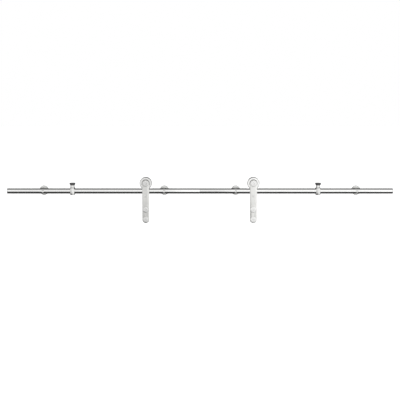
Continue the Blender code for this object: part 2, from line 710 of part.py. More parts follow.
def build_stop(shop, side, x):
    """One end stop: an upright round-ended block on the rail, with a rubber bumper on its neck."""
    stop = shop.empty(f"{side}_stop", (x, RAIL_Y, 0))
    place = {"parent": stop, "turn": UPRIGHT}
    bore = RAIL_RADIUS + GAP
    end_centre = (COLLAR_DEPTH - COLLAR_WIDTH) / 2
    collar = shop.plate(
        f"{side}_stop_collar", stadium(COLLAR_WIDTH, end_centre, -end_centre),
        COLLAR_TOP - COLLAR_BOTTOM, finish="mount", parent=stop,
        location=(0, 0, (COLLAR_TOP + COLLAR_BOTTOM) / 2), turn=UPRIGHT,
    )
    edges = collar.modifiers.new("edges", "BEVEL")
    edges.width = COLLAR_CHAMFER
    edges.segments = 1
    edges.limit_method = "ANGLE"
    edges.angle_limit = math.radians(60)
    reach = COLLAR_WIDTH / 2 + THROUGH
    cut(collar, shop.disc(
        f"{side}_rail_bore", bore, -reach, reach, FINE, parent=stop, turn=ALONG_X,
    ))
    neck_profile = [
        (0.0, NECK_TOP),
        (NECK_RADIUS, NECK_TOP),
        (NECK_RADIUS, COLLAR_TOP + NECK_FLARE_HEIGHT),
        (NECK_FLARE_RADIUS, COLLAR_TOP),
        (NECK_FLARE_RADIUS, COLLAR_TOP - NECK_ROOT),
        (0.0, COLLAR_TOP - NECK_ROOT),
    ]
    boolean(collar, shop.turned(f"{side}_neck", neck_profile, False, MEDIUM, **place), "UNION")
    set_bore = SET_SCREW_RADIUS + GAP
    cut(
        collar,
        shop.disc(
            f"{side}_neck_hole", BUMPER_SCREW_RADIUS + GAP, NECK_TOP - NECK_HOLE_DEPTH,
            NECK_TOP + THROUGH, COARSE, **place,
        ),
        shop.disc(
            f"{side}_set_screw_hole", set_bore, COLLAR_BOTTOM - THROUGH, -RAIL_RADIUS + THROUGH,
            COARSE, **place,
        ),
    )
    build_bumper(shop, side, place)
    tip = RAIL_RADIUS + GAP
    set_screw = shop.disc(
        f"{side}_stop_set_screw", SET_SCREW_RADIUS, tip, tip + SET_SCREW_LENGTH, COARSE,
        finish="fastener", parent=stop, turn=UPSIDE_DOWN,
    )
    cut(set_screw, shop.hexagon(
        f"{side}_set_screw_socket", SET_SCREW_SOCKET, tip + SET_SCREW_LENGTH - SET_SCREW_SOCKET_DEPTH,
        tip + SET_SCREW_LENGTH + THROUGH, parent=stop, turn=UPSIDE_DOWN,
    ))


def build_bumper(shop, side, place):
    """The rubber bumper on a stop and the screw that holds it."""
    bottom = NECK_TOP + GAP
    top = bottom + BUMPER_HEIGHT
    floor = bottom + BUMPER_FLOOR
    bore = BUMPER_SCREW_RADIUS + GAP
    counterbore = BUMPER_HEAD_RADIUS + GAP
    profile = [
        (counterbore, top),
        (BUMPER_TOP_RADIUS - BUMPER_ROUNDING, top),
        (BUMPER_TOP_RADIUS, top - BUMPER_ROUNDING),
        (BUMPER_TOP_RADIUS, top - BUMPER_HEIGHT / 2),
        (BUMPER_BOTTOM_RADIUS, bottom),
        (bore, bottom),
        (bore, floor),
        (counterbore, floor),
    ]
    smooth(shop.turned(f"{side}_stop_bumper", profile, True, FINE, finish="rubber", **place))
    head = (BUMPER_HEAD_RADIUS, BUMPER_HEAD_HEIGHT, HEAD_CHAMFER)
    seat = floor + GAP
    shank = (BUMPER_SCREW_RADIUS, seat - NECK_TOP + NECK_HOLE_DEPTH - GAP)
    smooth(capped_bolt(
        shop, f"{side}_bumper_screw", head, shank, (BUMPER_SOCKET, BUMPER_SOCKET_DEPTH),
        finish="fastener", parent=place["parent"], location=(0, 0, seat), turn=UPRIGHT,
    ))


def main():
    """Builds the whole object."""
    shop = Shop()
    build_rail(shop)
    build_mounts(shop)
    for side, x in zip(SIDES, HANGER_X):
        build_hanger(shop, side, x)
    for side, x in zip(SIDES, STOP_X):
        build_stop(shop, side, x)


main()
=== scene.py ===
"""The finished look of a sliding barn door kit: a round bar rail, its wall mounts, two wheeled
strap hangers and two end stops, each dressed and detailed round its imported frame."""

import json
import logging
import math
from dataclasses import dataclass, replace
from enum import Enum
from typing import ClassVar

import bmesh
import bpy
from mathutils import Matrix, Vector


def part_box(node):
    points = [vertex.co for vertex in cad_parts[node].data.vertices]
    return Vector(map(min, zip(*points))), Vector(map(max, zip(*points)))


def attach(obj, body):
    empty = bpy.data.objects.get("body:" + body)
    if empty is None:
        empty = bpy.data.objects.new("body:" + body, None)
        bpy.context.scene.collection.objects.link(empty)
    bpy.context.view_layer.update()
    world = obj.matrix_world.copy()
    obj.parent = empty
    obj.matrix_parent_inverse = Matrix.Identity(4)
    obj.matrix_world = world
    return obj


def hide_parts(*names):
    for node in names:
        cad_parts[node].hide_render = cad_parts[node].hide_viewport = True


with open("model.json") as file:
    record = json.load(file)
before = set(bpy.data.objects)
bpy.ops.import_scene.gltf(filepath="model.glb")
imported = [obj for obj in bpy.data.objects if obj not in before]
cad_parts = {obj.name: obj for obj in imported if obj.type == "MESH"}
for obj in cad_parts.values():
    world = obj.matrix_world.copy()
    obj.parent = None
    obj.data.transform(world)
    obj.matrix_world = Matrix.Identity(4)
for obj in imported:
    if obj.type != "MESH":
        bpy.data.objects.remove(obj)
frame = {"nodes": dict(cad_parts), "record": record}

LOG = logging.getLogger("barn_door_kit")
SIDES = ("left", "right")
MOUNTS = ("mount_1", "mount_2", "mount_3", "mount_4")
ORIGIN = Vector().freeze()
UPWARDS = Vector((0.0, 0.0, 1.0)).freeze()
FULL_TURN = 2 * math.pi
CLEARANCE = 0.0003
OVER = 0.001
SMOOTH_ANGLE = 32.0

Point = tuple[float, float]
Triple = tuple[float, float, float]
Colour = Triple
Socket = bpy.types.NodeSocket
Piece = bpy.types.Object


class Axis(Enum):
    ALONG_RAIL = (0.0, math.pi / 2, 0.0)
    AGAINST_RAIL = (0.0, -math.pi / 2, 0.0)
    TO_ROOM = (math.pi / 2, 0.0, 0.0)
    UP = (0.0, 0.0, 0.0)
    DOWN = (math.pi, 0.0, 0.0)


class Grain(Enum):
    """How a metal surface was worked, as the directions that its marks run across."""

    LENGTHWAYS = "x"
    UPRIGHT = "z"
    TURNED_ON_X = (0.0, 1.0, 1.0)
    TURNED_ON_Y = (1.0, 0.0, 1.0)
    TURNED_ON_Z = (1.0, 1.0, 0.0)


@dataclass(frozen=True)
class Place:
    """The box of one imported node."""

    low: Vector
    high: Vector

    @classmethod
    def of(cls, node: str) -> "Place":
        """The box of a node at rest."""
        low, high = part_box(node)
        return cls(Vector(low), Vector(high))

    @property
    def centre(self) -> Vector:
        """The middle of the box."""
        return (self.low + self.high) / 2

    @property
    def size(self) -> Vector:
        """The width, depth and height of the box."""
        return self.high - self.low


class NodeSheet:
    """Adds nodes to one shader tree and wires them."""

    def __init__(self, tree: bpy.types.NodeTree) -> None:
        """Keeps the tree to draw in."""
        self.tree = tree

    def feed(self, value: object, target: Socket) -> None:
        """Links an output to an input, or sets the input to a plain value."""
        if isinstance(value, Socket):
            self.tree.links.new(value, target)
        else:
            target.default_value = value

    def add(self, kind: str, values: dict | None = None, **settings: object) -> bpy.types.Node:
        """Adds a node.

        Args:
            kind: The node's type, without the prefix that shader nodes share.
            values: What is fed to its inputs, by name or number.
            **settings: Properties of the node itself.

        Returns:
            The new node.
        """
        prefix = "" if kind.startswith("NodeGroup") else "ShaderNode"
        node = self.tree.nodes.new(prefix + kind)
        for name, value in settings.items():
            setattr(node, name, value)
        for name, value in (values or {}).items():
            self.feed(value, node.inputs[name])
        return node

    def calc(self, operation: str, first: object, second: object, clamp: bool = False) -> Socket:
        """The answer of a sum on sockets or numbers, clamped to between 0 and 1 if asked."""
        values = {0: first, 1: second}
        return self.add("Math", values, operation=operation, use_clamp=clamp).outputs[0]

    def vector(self, operation: str, first: object, second: object = (0.0, 0.0, 0.0)) -> Socket:
        """The answer of a sum on vectors: a number for a length or a dot product."""
        node = self.add("VectorMath", {0: first, 1: second}, operation=operation)
        return node.outputs["Value" if operation in ("LENGTH", "DOT_PRODUCT") else "Vector"]

    def noise(
        self, where: Socket, scale: object, detail: float, roughness: float, distortion: float = 0.0
    ) -> Socket:
        """Layered noise between 0 and 1, over a place."""
        values = {"Vector": where, "Scale": scale, "Detail": detail, "Roughness": roughness,
                  "Distortion": distortion}
        return self.add("TexNoise", values).outputs[0]

    def spread(
        self, value: Socket, source: Point, target: Point = (0.0, 1.0), smooth: bool = False
    ) -> Socket:
        """Maps one span of values onto another.

        Args:
            value: The socket to map.
            source: The span that comes in.
            target: The span that goes out.
            smooth: Whether the ends ease in and out.

        Returns:
            The mapped value, held inside its span.
        """
        values = {"Value": value, "From Min": source[0], "From Max": source[1],
                  "To Min": target[0], "To Max": target[1]}
        kind = "SMOOTHSTEP" if smooth else "LINEAR"
        return self.add("MapRange", values, interpolation_type=kind).outputs["Result"]

    def blend(self, amount: Socket, first: Socket | Colour, second: Socket | Colour) -> Socket:
        """The mix of two colours, with the amount of the second one in it."""
        node = self.add("Mix", {"Factor": amount}, data_type="RGBA")
        for number, colour in ((6, first), (7, second)):
            whole = colour if isinstance(colour, Socket) else (*colour, 1.0)
            self.feed(whole, node.inputs[number])
        return node.outputs[2]

    def group(self, tree: bpy.types.NodeTree, **values: object) -> bpy.types.NodeOutputs:
        """The outputs of a node group, with values fed to its inputs."""
        return self.add("Group", values, node_tree=tree).outputs


class SurfaceEffects:
    def __init__(self) -> None:
        """Draws every group."""
        self.brushed_grain = self._brushed_grain()
        self.turning_marks = self._turning_marks()
        self.handling = self._handling()
        self.worn_edges = self._worn_edges()
        self.moulded_skin = self._moulded_skin()

    @staticmethod
    def _group(name: str, inputs: dict[str, object], outputs: tuple[str, ...]) -> tuple:
        """Starts a node group that takes a place as its Vector.

        Args:
            name: The group's name.
            inputs: Default values of its other inputs.
            outputs: Names of its outputs, all numbers.

        Returns:
            The group, its sheet, what it is given and what it puts out.
        """
        tree = bpy.data.node_groups.new(name, "ShaderNodeTree")
        tree.interface.new_socket("Vector", in_out="INPUT", socket_type="NodeSocketVector")
        for label, value in inputs.items():
            kind = "NodeSocketFloat" if isinstance(value, float) else "NodeSocketVector"
            tree.interface.new_socket(label, in_out="INPUT", socket_type=kind).default_value = value
        for label in outputs:
            tree.interface.new_socket(label, in_out="OUTPUT", socket_type="NodeSocketFloat")
        sheet = NodeSheet(tree)
        return tree, sheet, sheet.add("NodeGroupInput").outputs, sheet.add("NodeGroupOutput").inputs

    @staticmethod
    def _put_marks(
        sheet: NodeSheet, put: bpy.types.NodeInputs, where: Socket, fine: Triple, slow: Triple
    ) -> None:
        """Puts out fine streaks and a slower cloud over them.

        Args:
            sheet: Where to draw.
            put: The group's outputs.
            where: The place, stretched along the marks.
            fine: Scale, detail and roughness of the streaks.
            slow: The same for the cloud.
        """
        for make, label, span in ((fine, "Streak", (0.3, 0.7)), (slow, "Cloud", (0.35, 0.65))):
            sheet.feed(sheet.spread(sheet.noise(where, *make), span), put[label])

    def _brushed_grain(self) -> bpy.types.NodeTree:
        """Straight brush marks, long one way and fine the other two."""
        tree, sheet, given, put = self._group(
            "brushed_grain", {"Stretch": (20.0, 2000.0, 2000.0)}, ("Streak", "Cloud")
        )
        scaled = sheet.vector("MULTIPLY", given["Vector"], given["Stretch"])
        self._put_marks(sheet, put, scaled, (1.0, 6.0, 0.65), (0.12, 3.0, 0.5))
        return tree

    def _turning_marks(self) -> bpy.types.NodeTree:
        """Fine rings about an axis, as a lathe tool leaves."""
        tree, sheet, given, put = self._group(
            "turning_marks", {"Across": (1.0, 0.0, 1.0), "Rings": 2500.0}, ("Streak", "Cloud")
        )
        across = sheet.vector("MULTIPLY", given["Vector"], given["Across"])
        radius = sheet.vector("LENGTH", across)
        rest = sheet.vector("SUBTRACT", given["Vector"], across)
        along = sheet.vector("DOT_PRODUCT", rest, (1.0, 1.0, 1.0))
        ring = sheet.add("CombineXYZ", {
            "X": sheet.calc("MULTIPLY", radius, given["Rings"]),
            "Y": sheet.calc("MULTIPLY", along, given["Rings"]),
        })
        self._put_marks(sheet, put, ring.outputs[0], (1.0, 3.0, 0.6), (0.15, 2.0, 0.5))
        return tree

    def _handling(self) -> bpy.types.NodeTree:
        """Faint finger marks and wiped patches."""
        tree, sheet, given, put = self._group("handling", {"Patch": 28.0}, ("Dulled",))
        patch = sheet.noise(given["Vector"], given["Patch"], 4.0, 0.55, 0.6)
        sheet.feed(sheet.spread(patch, (0.48, 0.68), smooth=True), put["Dulled"])
        return tree

    def _worn_edges(self) -> bpy.types.NodeTree:
        """Rubbed edges, broken up so that they aren't even."""
        tree, sheet, given, put = self._group(
            "worn_edges", {"Reach": 0.0006, "Breaks": 400.0}, ("Wear",)
        )
        rounded = sheet.add("Bevel", {"Radius": given["Reach"]}, samples=4)
        true = sheet.add("NewGeometry")
        match = sheet.vector("DOT_PRODUCT", rounded.outputs[0], true.outputs["Normal"])
        edge = sheet.spread(match, (0.995, 0.86), smooth=True)
        broken = sheet.noise(given["Vector"], given["Breaks"], 3.0, 0.6)
        kept = sheet.spread(broken, (0.35, 0.6), (0.2, 1.0))
        sheet.feed(sheet.calc("MULTIPLY", edge, kept), put["Wear"])
        return tree

    def _moulded_skin(self) -> bpy.types.NodeTree:
        """The fine pebbled skin of moulded rubber and nylon, and the dust that settles on it."""
        tree, sheet, given, put = self._group(
            "moulded_skin", {"Pebbles": 1800.0}, ("Height", "Dust")
        )
        values = {"Vector": given["Vector"], "Scale": given["Pebbles"], "Smoothness": 0.6}
        cells = sheet.add("TexVoronoi", values, feature="SMOOTH_F1")
        sheet.feed(cells.outputs["Distance"], put["Height"])
        facing = sheet.add("SeparateXYZ", {0: sheet.add("NewGeometry").outputs["Normal"]})
        up = sheet.spread(facing.outputs["Z"], (0.3, 1.0), smooth=True)
        specks = sheet.noise(given["Vector"], 260.0, 5.0, 0.7)
        thick = sheet.spread(specks, (0.42, 0.72), (0.05, 1.0))
        sheet.feed(sheet.calc("MULTIPLY", up, thick), put["Dust"])
        return tree


@dataclass(frozen=True)
class Finish:
    """What every finish shares."""

    suffix: ClassVar[str]
    bump: ClassVar[float]
    tint: Colour
    roughness: float

    def dress(
        self, name: str, effects: SurfaceEffects, grain: Grain, centre: Vector
    ) -> bpy.types.Material:
        """Makes the material for one piece.

        Args:
            name: The piece's name.
            effects: The shared node groups.
            grain: The way its marks run.
            centre: A point on the piece's axis.

        Returns:
            The material.
        """
        material = bpy.data.materials.new(f"{name}_{self.suffix}")
        material.use_nodes = True
        sheet = NodeSheet(material.node_tree)
        shader = material.node_tree.nodes["Principled BSDF"]
        values = {"Vector": sheet.add("TexCoord").outputs["Object"], "Location": tuple(-centre)}
        where = sheet.add("Mapping", values).outputs["Vector"]
        wear = sheet.group(effects.worn_edges, Vector=where)["Wear"]
        looks, height = self._looks(sheet, effects, grain, where, wear)
        relief = {"Strength": self.bump, "Distance": self.relief, "Height": height}
        looks["Normal"] = sheet.add("Bump", relief).outputs["Normal"]
        for label, value in looks.items():
            sheet.feed(value, shader.inputs[label])
        return material

    def _looks(
        self, sheet: NodeSheet, effects: SurfaceEffects, grain: Grain, where: Socket, wear: Socket
    ) -> tuple[dict[str, object], Socket]:
        """Draws the surface, which each kind of finish does its own way.

        Args:
            sheet: Where to draw.
            effects: The shared node groups.
            grain: The way its marks run.
            where: The place on the piece.
            wear: How worn it is there.

        Returns:
            What the shader is fed, and the relief's height.
        """
        raise NotImplementedError


@dataclass(frozen=True)
class SteelFinish(Finish):
    """Stainless steel as one tool left it."""

    suffix = "steel"
    bump = 0.6
    streak_tone: float = 0.10
    streak_gloss: float = 0.10
    relief: float = 0.000004
    dulling: float = 0.06
    wear_tone: float = 0.35
    wear_polish: float = -0.05
    streak_share: float = 0.55
    rings: float = 2500.0
    stretch: float = 18.0
    fineness: float = 2200.0
    recess: Point = (0.0, 0.0)
    recess_back: Point = (-0.006, -0.004)
    recess_shade_tone: float = 1.0

    def _looks(
        self, sheet: NodeSheet, effects: SurfaceEffects, grain: Grain, where: Socket, wear: Socket
    ) -> tuple[dict[str, object], Socket]:
        """Draws brushed or turned steel, rubbed and handled."""
        marks = self._marks(sheet, effects, grain, where)
        streak = marks["Streak"]
        dulled = sheet.group(effects.handling, Vector=where)["Dulled"]
        dark = tuple(channel * (1.0 - self.streak_tone) for channel in self.tint)
        light = tuple(min(1.0, channel * (1.0 + self.streak_tone)) for channel in self.tint)
        bright = tuple(channel + (1.0 - channel) * self.wear_tone for channel in self.tint)
        shares = ((streak, self.streak_share), (marks["Cloud"], 1.0 - self.streak_share))
        tone = sheet.calc("ADD", *(sheet.calc("MULTIPLY", mark, share) for mark, share in shares))
        surface = sheet.blend(wear, sheet.blend(tone, dark, light), bright)
        # Painted shade: the wheel's recess ring is painted dark, standing in for shade in the gap
        # round the strap's head.
        if self.recess[1] > 0.0:
            surface = self._painted_recess_shade(sheet, where, surface)
        low = self.roughness - self.streak_gloss / 2
        gloss = sheet.spread(streak, (0.0, 1.0), (low, low + self.streak_gloss))
        hazed = sheet.calc("ADD", gloss, sheet.calc("MULTIPLY", dulled, self.dulling))
        total = sheet.calc("ADD", hazed, sheet.calc("MULTIPLY", wear, self.wear_polish), clamp=True)
        return {"Metallic": 1.0, "Base Color": surface, "Roughness": total}, streak

    def _painted_recess_shade(self, sheet: NodeSheet, where: Socket, surface: Socket) -> Socket:
        """Painted shade that darkens the ring-shaped recess in the room side of the wheel.

        Args:
            sheet: Where to draw.
            where: The place on the piece, from its axis along Y.
            surface: The clean colour.

        Returns:
            The colour with the painted shade in it.
        """
        radius = sheet.vector("LENGTH", sheet.vector("MULTIPLY", where, Grain.TURNED_ON_Y.value))
        inner, outer = self.recess
        soft = 0.0002
        rises = sheet.spread(radius, (inner - soft, inner))
        falls = sheet.spread(radius, (outer, outer + soft), (1.0, 0.0))
        depth = sheet.add("SeparateXYZ", {0: where}).outputs["Y"]
        room_side = sheet.spread(depth, self.recess_back, (1.0, 0.0))
        ring = sheet.calc("MULTIPLY", rises, falls)
        painted_shade = tuple(channel * self.recess_shade_tone for channel in self.tint)
        return sheet.blend(sheet.calc("MULTIPLY", ring, room_side), surface, painted_shade)

    def _marks(
        self, sheet: NodeSheet, effects: SurfaceEffects, grain: Grain, where: Socket
    ) -> bpy.types.NodeOutputs:
        """The outputs of the group that draws the tool marks, turned or brushed."""
        if grain not in (Grain.LENGTHWAYS, Grain.UPRIGHT):
            values = {"Vector": where, "Across": grain.value, "Rings": self.rings}
            return sheet.group(effects.turning_marks, **values)
        stretch = [self.fineness] * 3
        stretch[0 if grain is Grain.LENGTHWAYS else 2] = self.stretch
        return sheet.group(effects.brushed_grain, Vector=where, Stretch=stretch)


@dataclass(frozen=True)
class MouldedFinish(Finish):
    """Rubber or nylon from a mould."""

    suffix = "moulded"
    bump = 0.5
    dust_tint: Colour
    pebbles: float = 1800.0
    relief: float = 0.00003
    dusting: float = 0.5
    dust_haze: float = 0.2
    rubbing: float = 0.5

    def _looks(
        self, sheet: NodeSheet, effects: SurfaceEffects, grain: Grain, where: Socket, wear: Socket
    ) -> tuple[dict[str, object], Socket]:
        """Draws a moulded skin, which has no grain, with dust on it."""
        skin = sheet.group(effects.moulded_skin, Vector=where, Pebbles=self.pebbles)
        dust = sheet.calc("MULTIPLY", skin["Dust"], self.dusting)
        grey = tuple(channel * 1.8 + 0.01 for channel in self.tint)
        edged = sheet.blend(sheet.calc("MULTIPLY", wear, self.rubbing), self.tint, grey)
        haze = sheet.calc("MULTIPLY", dust, self.dust_haze)
        rough = sheet.calc("ADD", haze, self.roughness, clamp=True)
        dusty = sheet.blend(dust, edged, self.dust_tint)
        return {"Base Color": dusty, "Roughness": rough}, skin["Height"]


FINISHES = {
    "rail_steel": SteelFinish(
        tint=(0.88, 0.88, 0.87), roughness=0.10, streak_tone=0.04, streak_gloss=0.05,
        relief=0.000002,
    ),
    "strap_steel": SteelFinish(
        tint=(0.68, 0.68, 0.662), roughness=0.32, streak_tone=0.06, dulling=0.08
    ),
    # The wheel's recess ring carries painted shade, darkened to recess_shade_tone of its tint.
    "wheel_steel": SteelFinish(
        tint=(0.69, 0.69, 0.68), roughness=0.20, rings=3000.0, recess=(0.0150, 0.0184),
        recess_shade_tone=0.24,
    ),
    "turned_steel": SteelFinish(tint=(0.63, 0.63, 0.62), roughness=0.24),
    "fastener_steel": SteelFinish(tint=(0.67, 0.67, 0.66), roughness=0.26, streak_tone=0.06),
    "bearing_steel": SteelFinish(
        tint=(0.60, 0.60, 0.62), roughness=0.12, streak_tone=0.04, relief=0.000002
    ),
    "rubber": MouldedFinish(
        tint=(0.070, 0.070, 0.071), dust_tint=(0.22, 0.215, 0.21), roughness=0.42
    ),
    "nylon": MouldedFinish(
        tint=(0.045, 0.045, 0.047), dust_tint=(0.14, 0.14, 0.135), roughness=0.42, relief=0.00001
    ),
}
# Painted light and shade: the left hanger's steel is painted darker and the right hanger's lighter,
# standing in for light that falls more from the right.
PAINTED_LIGHT_TONES = {"left_hanger": 0.90, "left_wheel": 0.90, "right_hanger": 1.05, "right_wheel": 1.05}


def arc(centre: Point, radius: float, start: float, end: float, steps: int) -> list[Point]:
    """Points along an arc of a profile.

    Args:
        centre: The arc's centre.
        radius: Its radius.
        start: The angle it starts at, in degrees, from +radius towards +height.
        end: The angle it ends at.
        steps: Stretches along it.

    Returns:
        The points, ends included.
    """
    points = []
    for step in range(steps + 1):
        angle = math.radians(start + (end - start) * step / steps)
        points.append((centre[0] + radius * math.cos(angle), centre[1] + radius * math.sin(angle)))
    return points


def rod(radius: float, top: float, bottom: float) -> list[Point]:
    """The profile of a plain rod, from its top down."""
    return [(0.0, top), (radius, top), (radius, bottom), (0.0, bottom)]


class Bench:
    """The bench where pieces are modelled by hand tools."""

    merge = 0.000001

    def clear(self) -> None:
        """Leaves edit mode with nothing selected."""
        if bpy.context.mode != "OBJECT":
            bpy.ops.object.mode_set(mode="OBJECT")
        bpy.ops.object.select_all(action="DESELECT")

    def pick(self, piece: Piece) -> None:
        """Selects one piece and makes it active."""
        self.clear()
        piece.select_set(True)
        bpy.context.view_layer.objects.active = piece

    def start(self, name: str, at: Vector) -> Piece:
        """Starts an outline from one selected point, in edit mode.

        Args:
            name: The new piece's name.
            at: Where the point lies.

        Returns:
            The piece.
        """
        self.clear()
        bpy.ops.mesh.primitive_plane_add(size=0.001)
        piece = bpy.context.active_object
        piece.name = piece.data.name = name
        bpy.ops.object.mode_set(mode="EDIT")
        bpy.ops.mesh.select_all(action="SELECT")
        bpy.ops.mesh.merge(type="CENTER")
        bpy.ops.transform.translate(value=at)
        return piece

    def draw(self, here: Vector, *points: Vector) -> None:
        """Extrudes the selected point, which lies here, through further points."""
        for point in points:
            bpy.ops.mesh.extrude_region_move(TRANSFORM_OT_translate={"value": point - here})
            here = point

    def close(self, piece: Piece) -> None:
        """Joins the two ends of a piece's outline, in edit mode."""
        shape = bmesh.from_edit_mesh(piece.data)
        bpy.ops.mesh.select_all(action="DESELECT")
        for vert in shape.verts:
            vert.select_set(len(vert.link_edges) == 1)
        shape.select_flush_mode()
        bmesh.update_edit_mesh(piece.data)
        bpy.ops.mesh.edge_face_add()

    def spin(
        self, steps: int, angle: float, centre: Vector = ORIGIN, axis: Vector = UPWARDS
    ) -> None:
        """Sweeps what is selected round a centre, about Z unless told."""
        bpy.ops.mesh.spin(steps=steps, angle=angle, center=centre, axis=axis)

    def cap_ends(self) -> None:
        """Fills every open end, in edit mode."""
        bpy.ops.mesh.select_all(action="DESELECT")
        bpy.ops.mesh.select_non_manifold()
        bpy.ops.mesh.fill_holes(sides=0)

    def tidy_mesh(self) -> None:
        """Merges doubles and points every face outwards, in edit mode, then leaves it."""
        bpy.ops.mesh.select_all(action="SELECT")
        bpy.ops.mesh.remove_doubles(threshold=self.merge)
        bpy.ops.mesh.normals_make_consistent(inside=False)
        bpy.ops.object.mode_set(mode="OBJECT")

    def turn(
        self, name: str, profile: list[Point], ring: bool = False, steps: int = 72,
        edge: float = 0.0,
    ) -> Piece:
        """Turns a profile about the Z axis.

        Args:
            name: The new piece's name.
            profile: Radius and height of each point, down the outer side.
            ring: Whether the profile closes on itself round a bore.
            steps: Sides round the piece.
            edge: Width of the rounding of its sharp edges.

        Returns:
            The turned piece.
        """
        points = [Vector((radius, 0.0, height)) for radius, height in profile]
        piece = self.start(name, points[0])
        self.draw(*points)
        if ring:
            self.close(piece)
        bpy.ops.mesh.select_all(action="SELECT")
        self.spin(steps, FULL_TURN)
        self.tidy_mesh()
        if edge > 0.0:
            self.ease(piece, edge)
        return piece

    def plate(
        self, name: str, near: Vector, far: Vector, half: Vector, depth: Vector, steps: int,
        edge: float,
    ) -> Piece:
        """A flat plate with round ends.

        Args:
            name: Its name.
            near: The centre of one round end, on the face that is drawn.
            far: The centre of the other.
            half: From the plate's middle line to its side.
            depth: From the face that is drawn to the other face.
            steps: Stretches round each end.
            edge: Width of the rounding of its edges.

        Returns:
            The plate.
        """
        plate = self.start(name, near + half)
        backwards = -depth.normalized()
        for side, start, end in ((half, near, far), (-half, far, near)):
            self.draw(start + side, end + side)
            self.spin(steps, math.pi, end, backwards)
        bpy.ops.mesh.select_all(action="SELECT")
        bpy.ops.mesh.remove_doubles(threshold=self.merge)
        bpy.ops.mesh.edge_face_add()
        bpy.ops.mesh.extrude_region_move(TRANSFORM_OT_translate={"value": depth})
        self.tidy_mesh()
        self.ease(plate, edge, segments=3, angle=60.0)
        return plate

    def ease(self, piece: Piece, width: float, segments: int = 2, angle: float = 28.0) -> None:
        """Rounds a piece's sharp edges.

        Args:
            piece: The piece.
            width: How far the rounding reaches.
            segments: Steps across it.
            angle: The least angle that counts as sharp, in degrees.
        """
        bevel = piece.modifiers.new("ease", "BEVEL")
        bevel.width = width
        bevel.segments = segments
        bevel.limit_method = "ANGLE"
        bevel.angle_limit = math.radians(angle)
        bevel.use_clamp_overlap = True
        self.apply(piece, bevel)

    def apply(self, piece: Piece, modifier: bpy.types.Modifier) -> None:
        """Applies one modifier."""
        self.pick(piece)
        bpy.ops.object.modifier_apply(modifier=modifier.name)

    def combine(self, piece: Piece, tool: Piece, operation: str) -> None:
        """Cuts, joins or trims a piece with a tool, which is used up."""
        boolean = piece.modifiers.new("combine", "BOOLEAN")
        boolean.operation = operation
        boolean.solver = "EXACT"
        boolean.object = tool
        self.apply(piece, boolean)
        bpy.data.objects.remove(tool, do_unlink=True)

    def cut(
        self, piece: Piece, profile: list[Point], steps: int, axis: Axis | None = None,
        at: Vector = ORIGIN, operation: str = "DIFFERENCE",
    ) -> None:
        """Combines a piece with a turned tool.

        Args:
            piece: The piece.
            profile: The tool's profile.
            steps: Sides round the tool.
            axis: Where the tool's Z goes, if it is laid at all.
            at: Where its origin goes.
            operation: What the tool does to the piece.
        """
        tool = self.turn("tool", profile, steps=steps)
        if axis is not None:
            self.lay(tool, axis, at)
        self.combine(piece, tool, operation)

    def prism(self, name: str, flats: float, bottom: float, top: float) -> Piece:
        """A hexagonal bar along Z, from its width across flats and its two heights."""
        self.clear()
        bpy.ops.mesh.primitive_cylinder_add(
            vertices=6, radius=flats / math.sqrt(3), depth=top - bottom,
            location=(0.0, 0.0, (bottom + top) / 2),
        )
        piece = bpy.context.active_object
        piece.name = name
        self.settle()
        return piece

    def socket(self, piece: Piece, flats: float, top: float, depth: float) -> None:
        """Sinks a hexagon socket with a lead-in.

        Args:
            piece: The screw.
            flats: Width across the flats.
            top: Height of the face it goes in.
            depth: How deep it goes.
        """
        corner = flats / math.sqrt(3)
        lead = 0.06 * flats
        self.combine(piece, self.prism("broach", flats, top - depth, top + OVER), "DIFFERENCE")
        cone = [(0.0, top + OVER), (corner + lead + OVER, top + OVER),
                (corner - lead, top - 2 * lead), (0.0, top - 2 * lead)]
        self.cut(piece, cone, 36)

    def nut(self, name: str, flats: float, bottom: float, top: float, bore: float) -> Piece:
        """A hexagon nut with both faces chamfered.

        Args:
            name: Its name.
            flats: Width across the flats.
            bottom: Height of its lower face.
            top: Height of its upper face.
            bore: Radius of its hole.

        Returns:
            The nut.
        """
        nut = self.prism(name, flats, bottom, top)
        face = 0.97 * flats / 2
        wide = flats / math.sqrt(3) + OVER
        drop = (wide - face) * math.tan(math.radians(30))
        chamfer = [(0.0, top), (face, top), (wide, top - drop), (wide, bottom + drop),
                   (face, bottom), (0.0, bottom)]
        self.cut(nut, chamfer, 48, operation="INTERSECT")
        lead = 0.0004
        mouth = bore + lead + OVER
        drill = [(0.0, top + OVER), (mouth, top + OVER), (bore, top - lead), (bore, bottom + lead),
                 (mouth, bottom - OVER), (0.0, bottom - OVER)]
        self.cut(nut, drill, 48)
        return nut

    def cut_thread(
        self, piece: Piece, radius: float, pitch: float, bottom: float, top: float, depth: float
    ) -> None:
        """Raises a helical thread round a shank that was turned to the thread's root.

        Args:
            piece: The screw, along Z.
            radius: The thread's outer radius.
            pitch: Its pitch.
            bottom: Where it starts.
            top: Where it ends.
            depth: From its crest to its root.
        """
        root = radius - depth
        sunk = root - 0.0003
        half, crest = pitch * 0.42, pitch * 0.06
        corners = ((sunk, half), (root, half), (radius, crest), (radius, -crest), (root, -half),
                   (sunk, -half))
        section = [Vector((reach, 0.0, bottom + height)) for reach, height in corners]
        ridge = self.start("thread", section[0])
        self.draw(*section)
        self.close(ridge)
        bpy.ops.object.mode_set(mode="OBJECT")
        screw = ridge.modifiers.new("helix", "SCREW")
        screw.axis = "Z"
        screw.angle = FULL_TURN
        screw.screw_offset = pitch
        screw.iterations = max(1, int((top - bottom) / pitch))
        screw.steps = screw.render_steps = 24
        screw.use_smooth_shade = True
        self.apply(ridge, screw)
        bpy.ops.object.mode_set(mode="EDIT")
        self.cap_ends()
        self.tidy_mesh()
        self.combine(piece, ridge, "UNION")

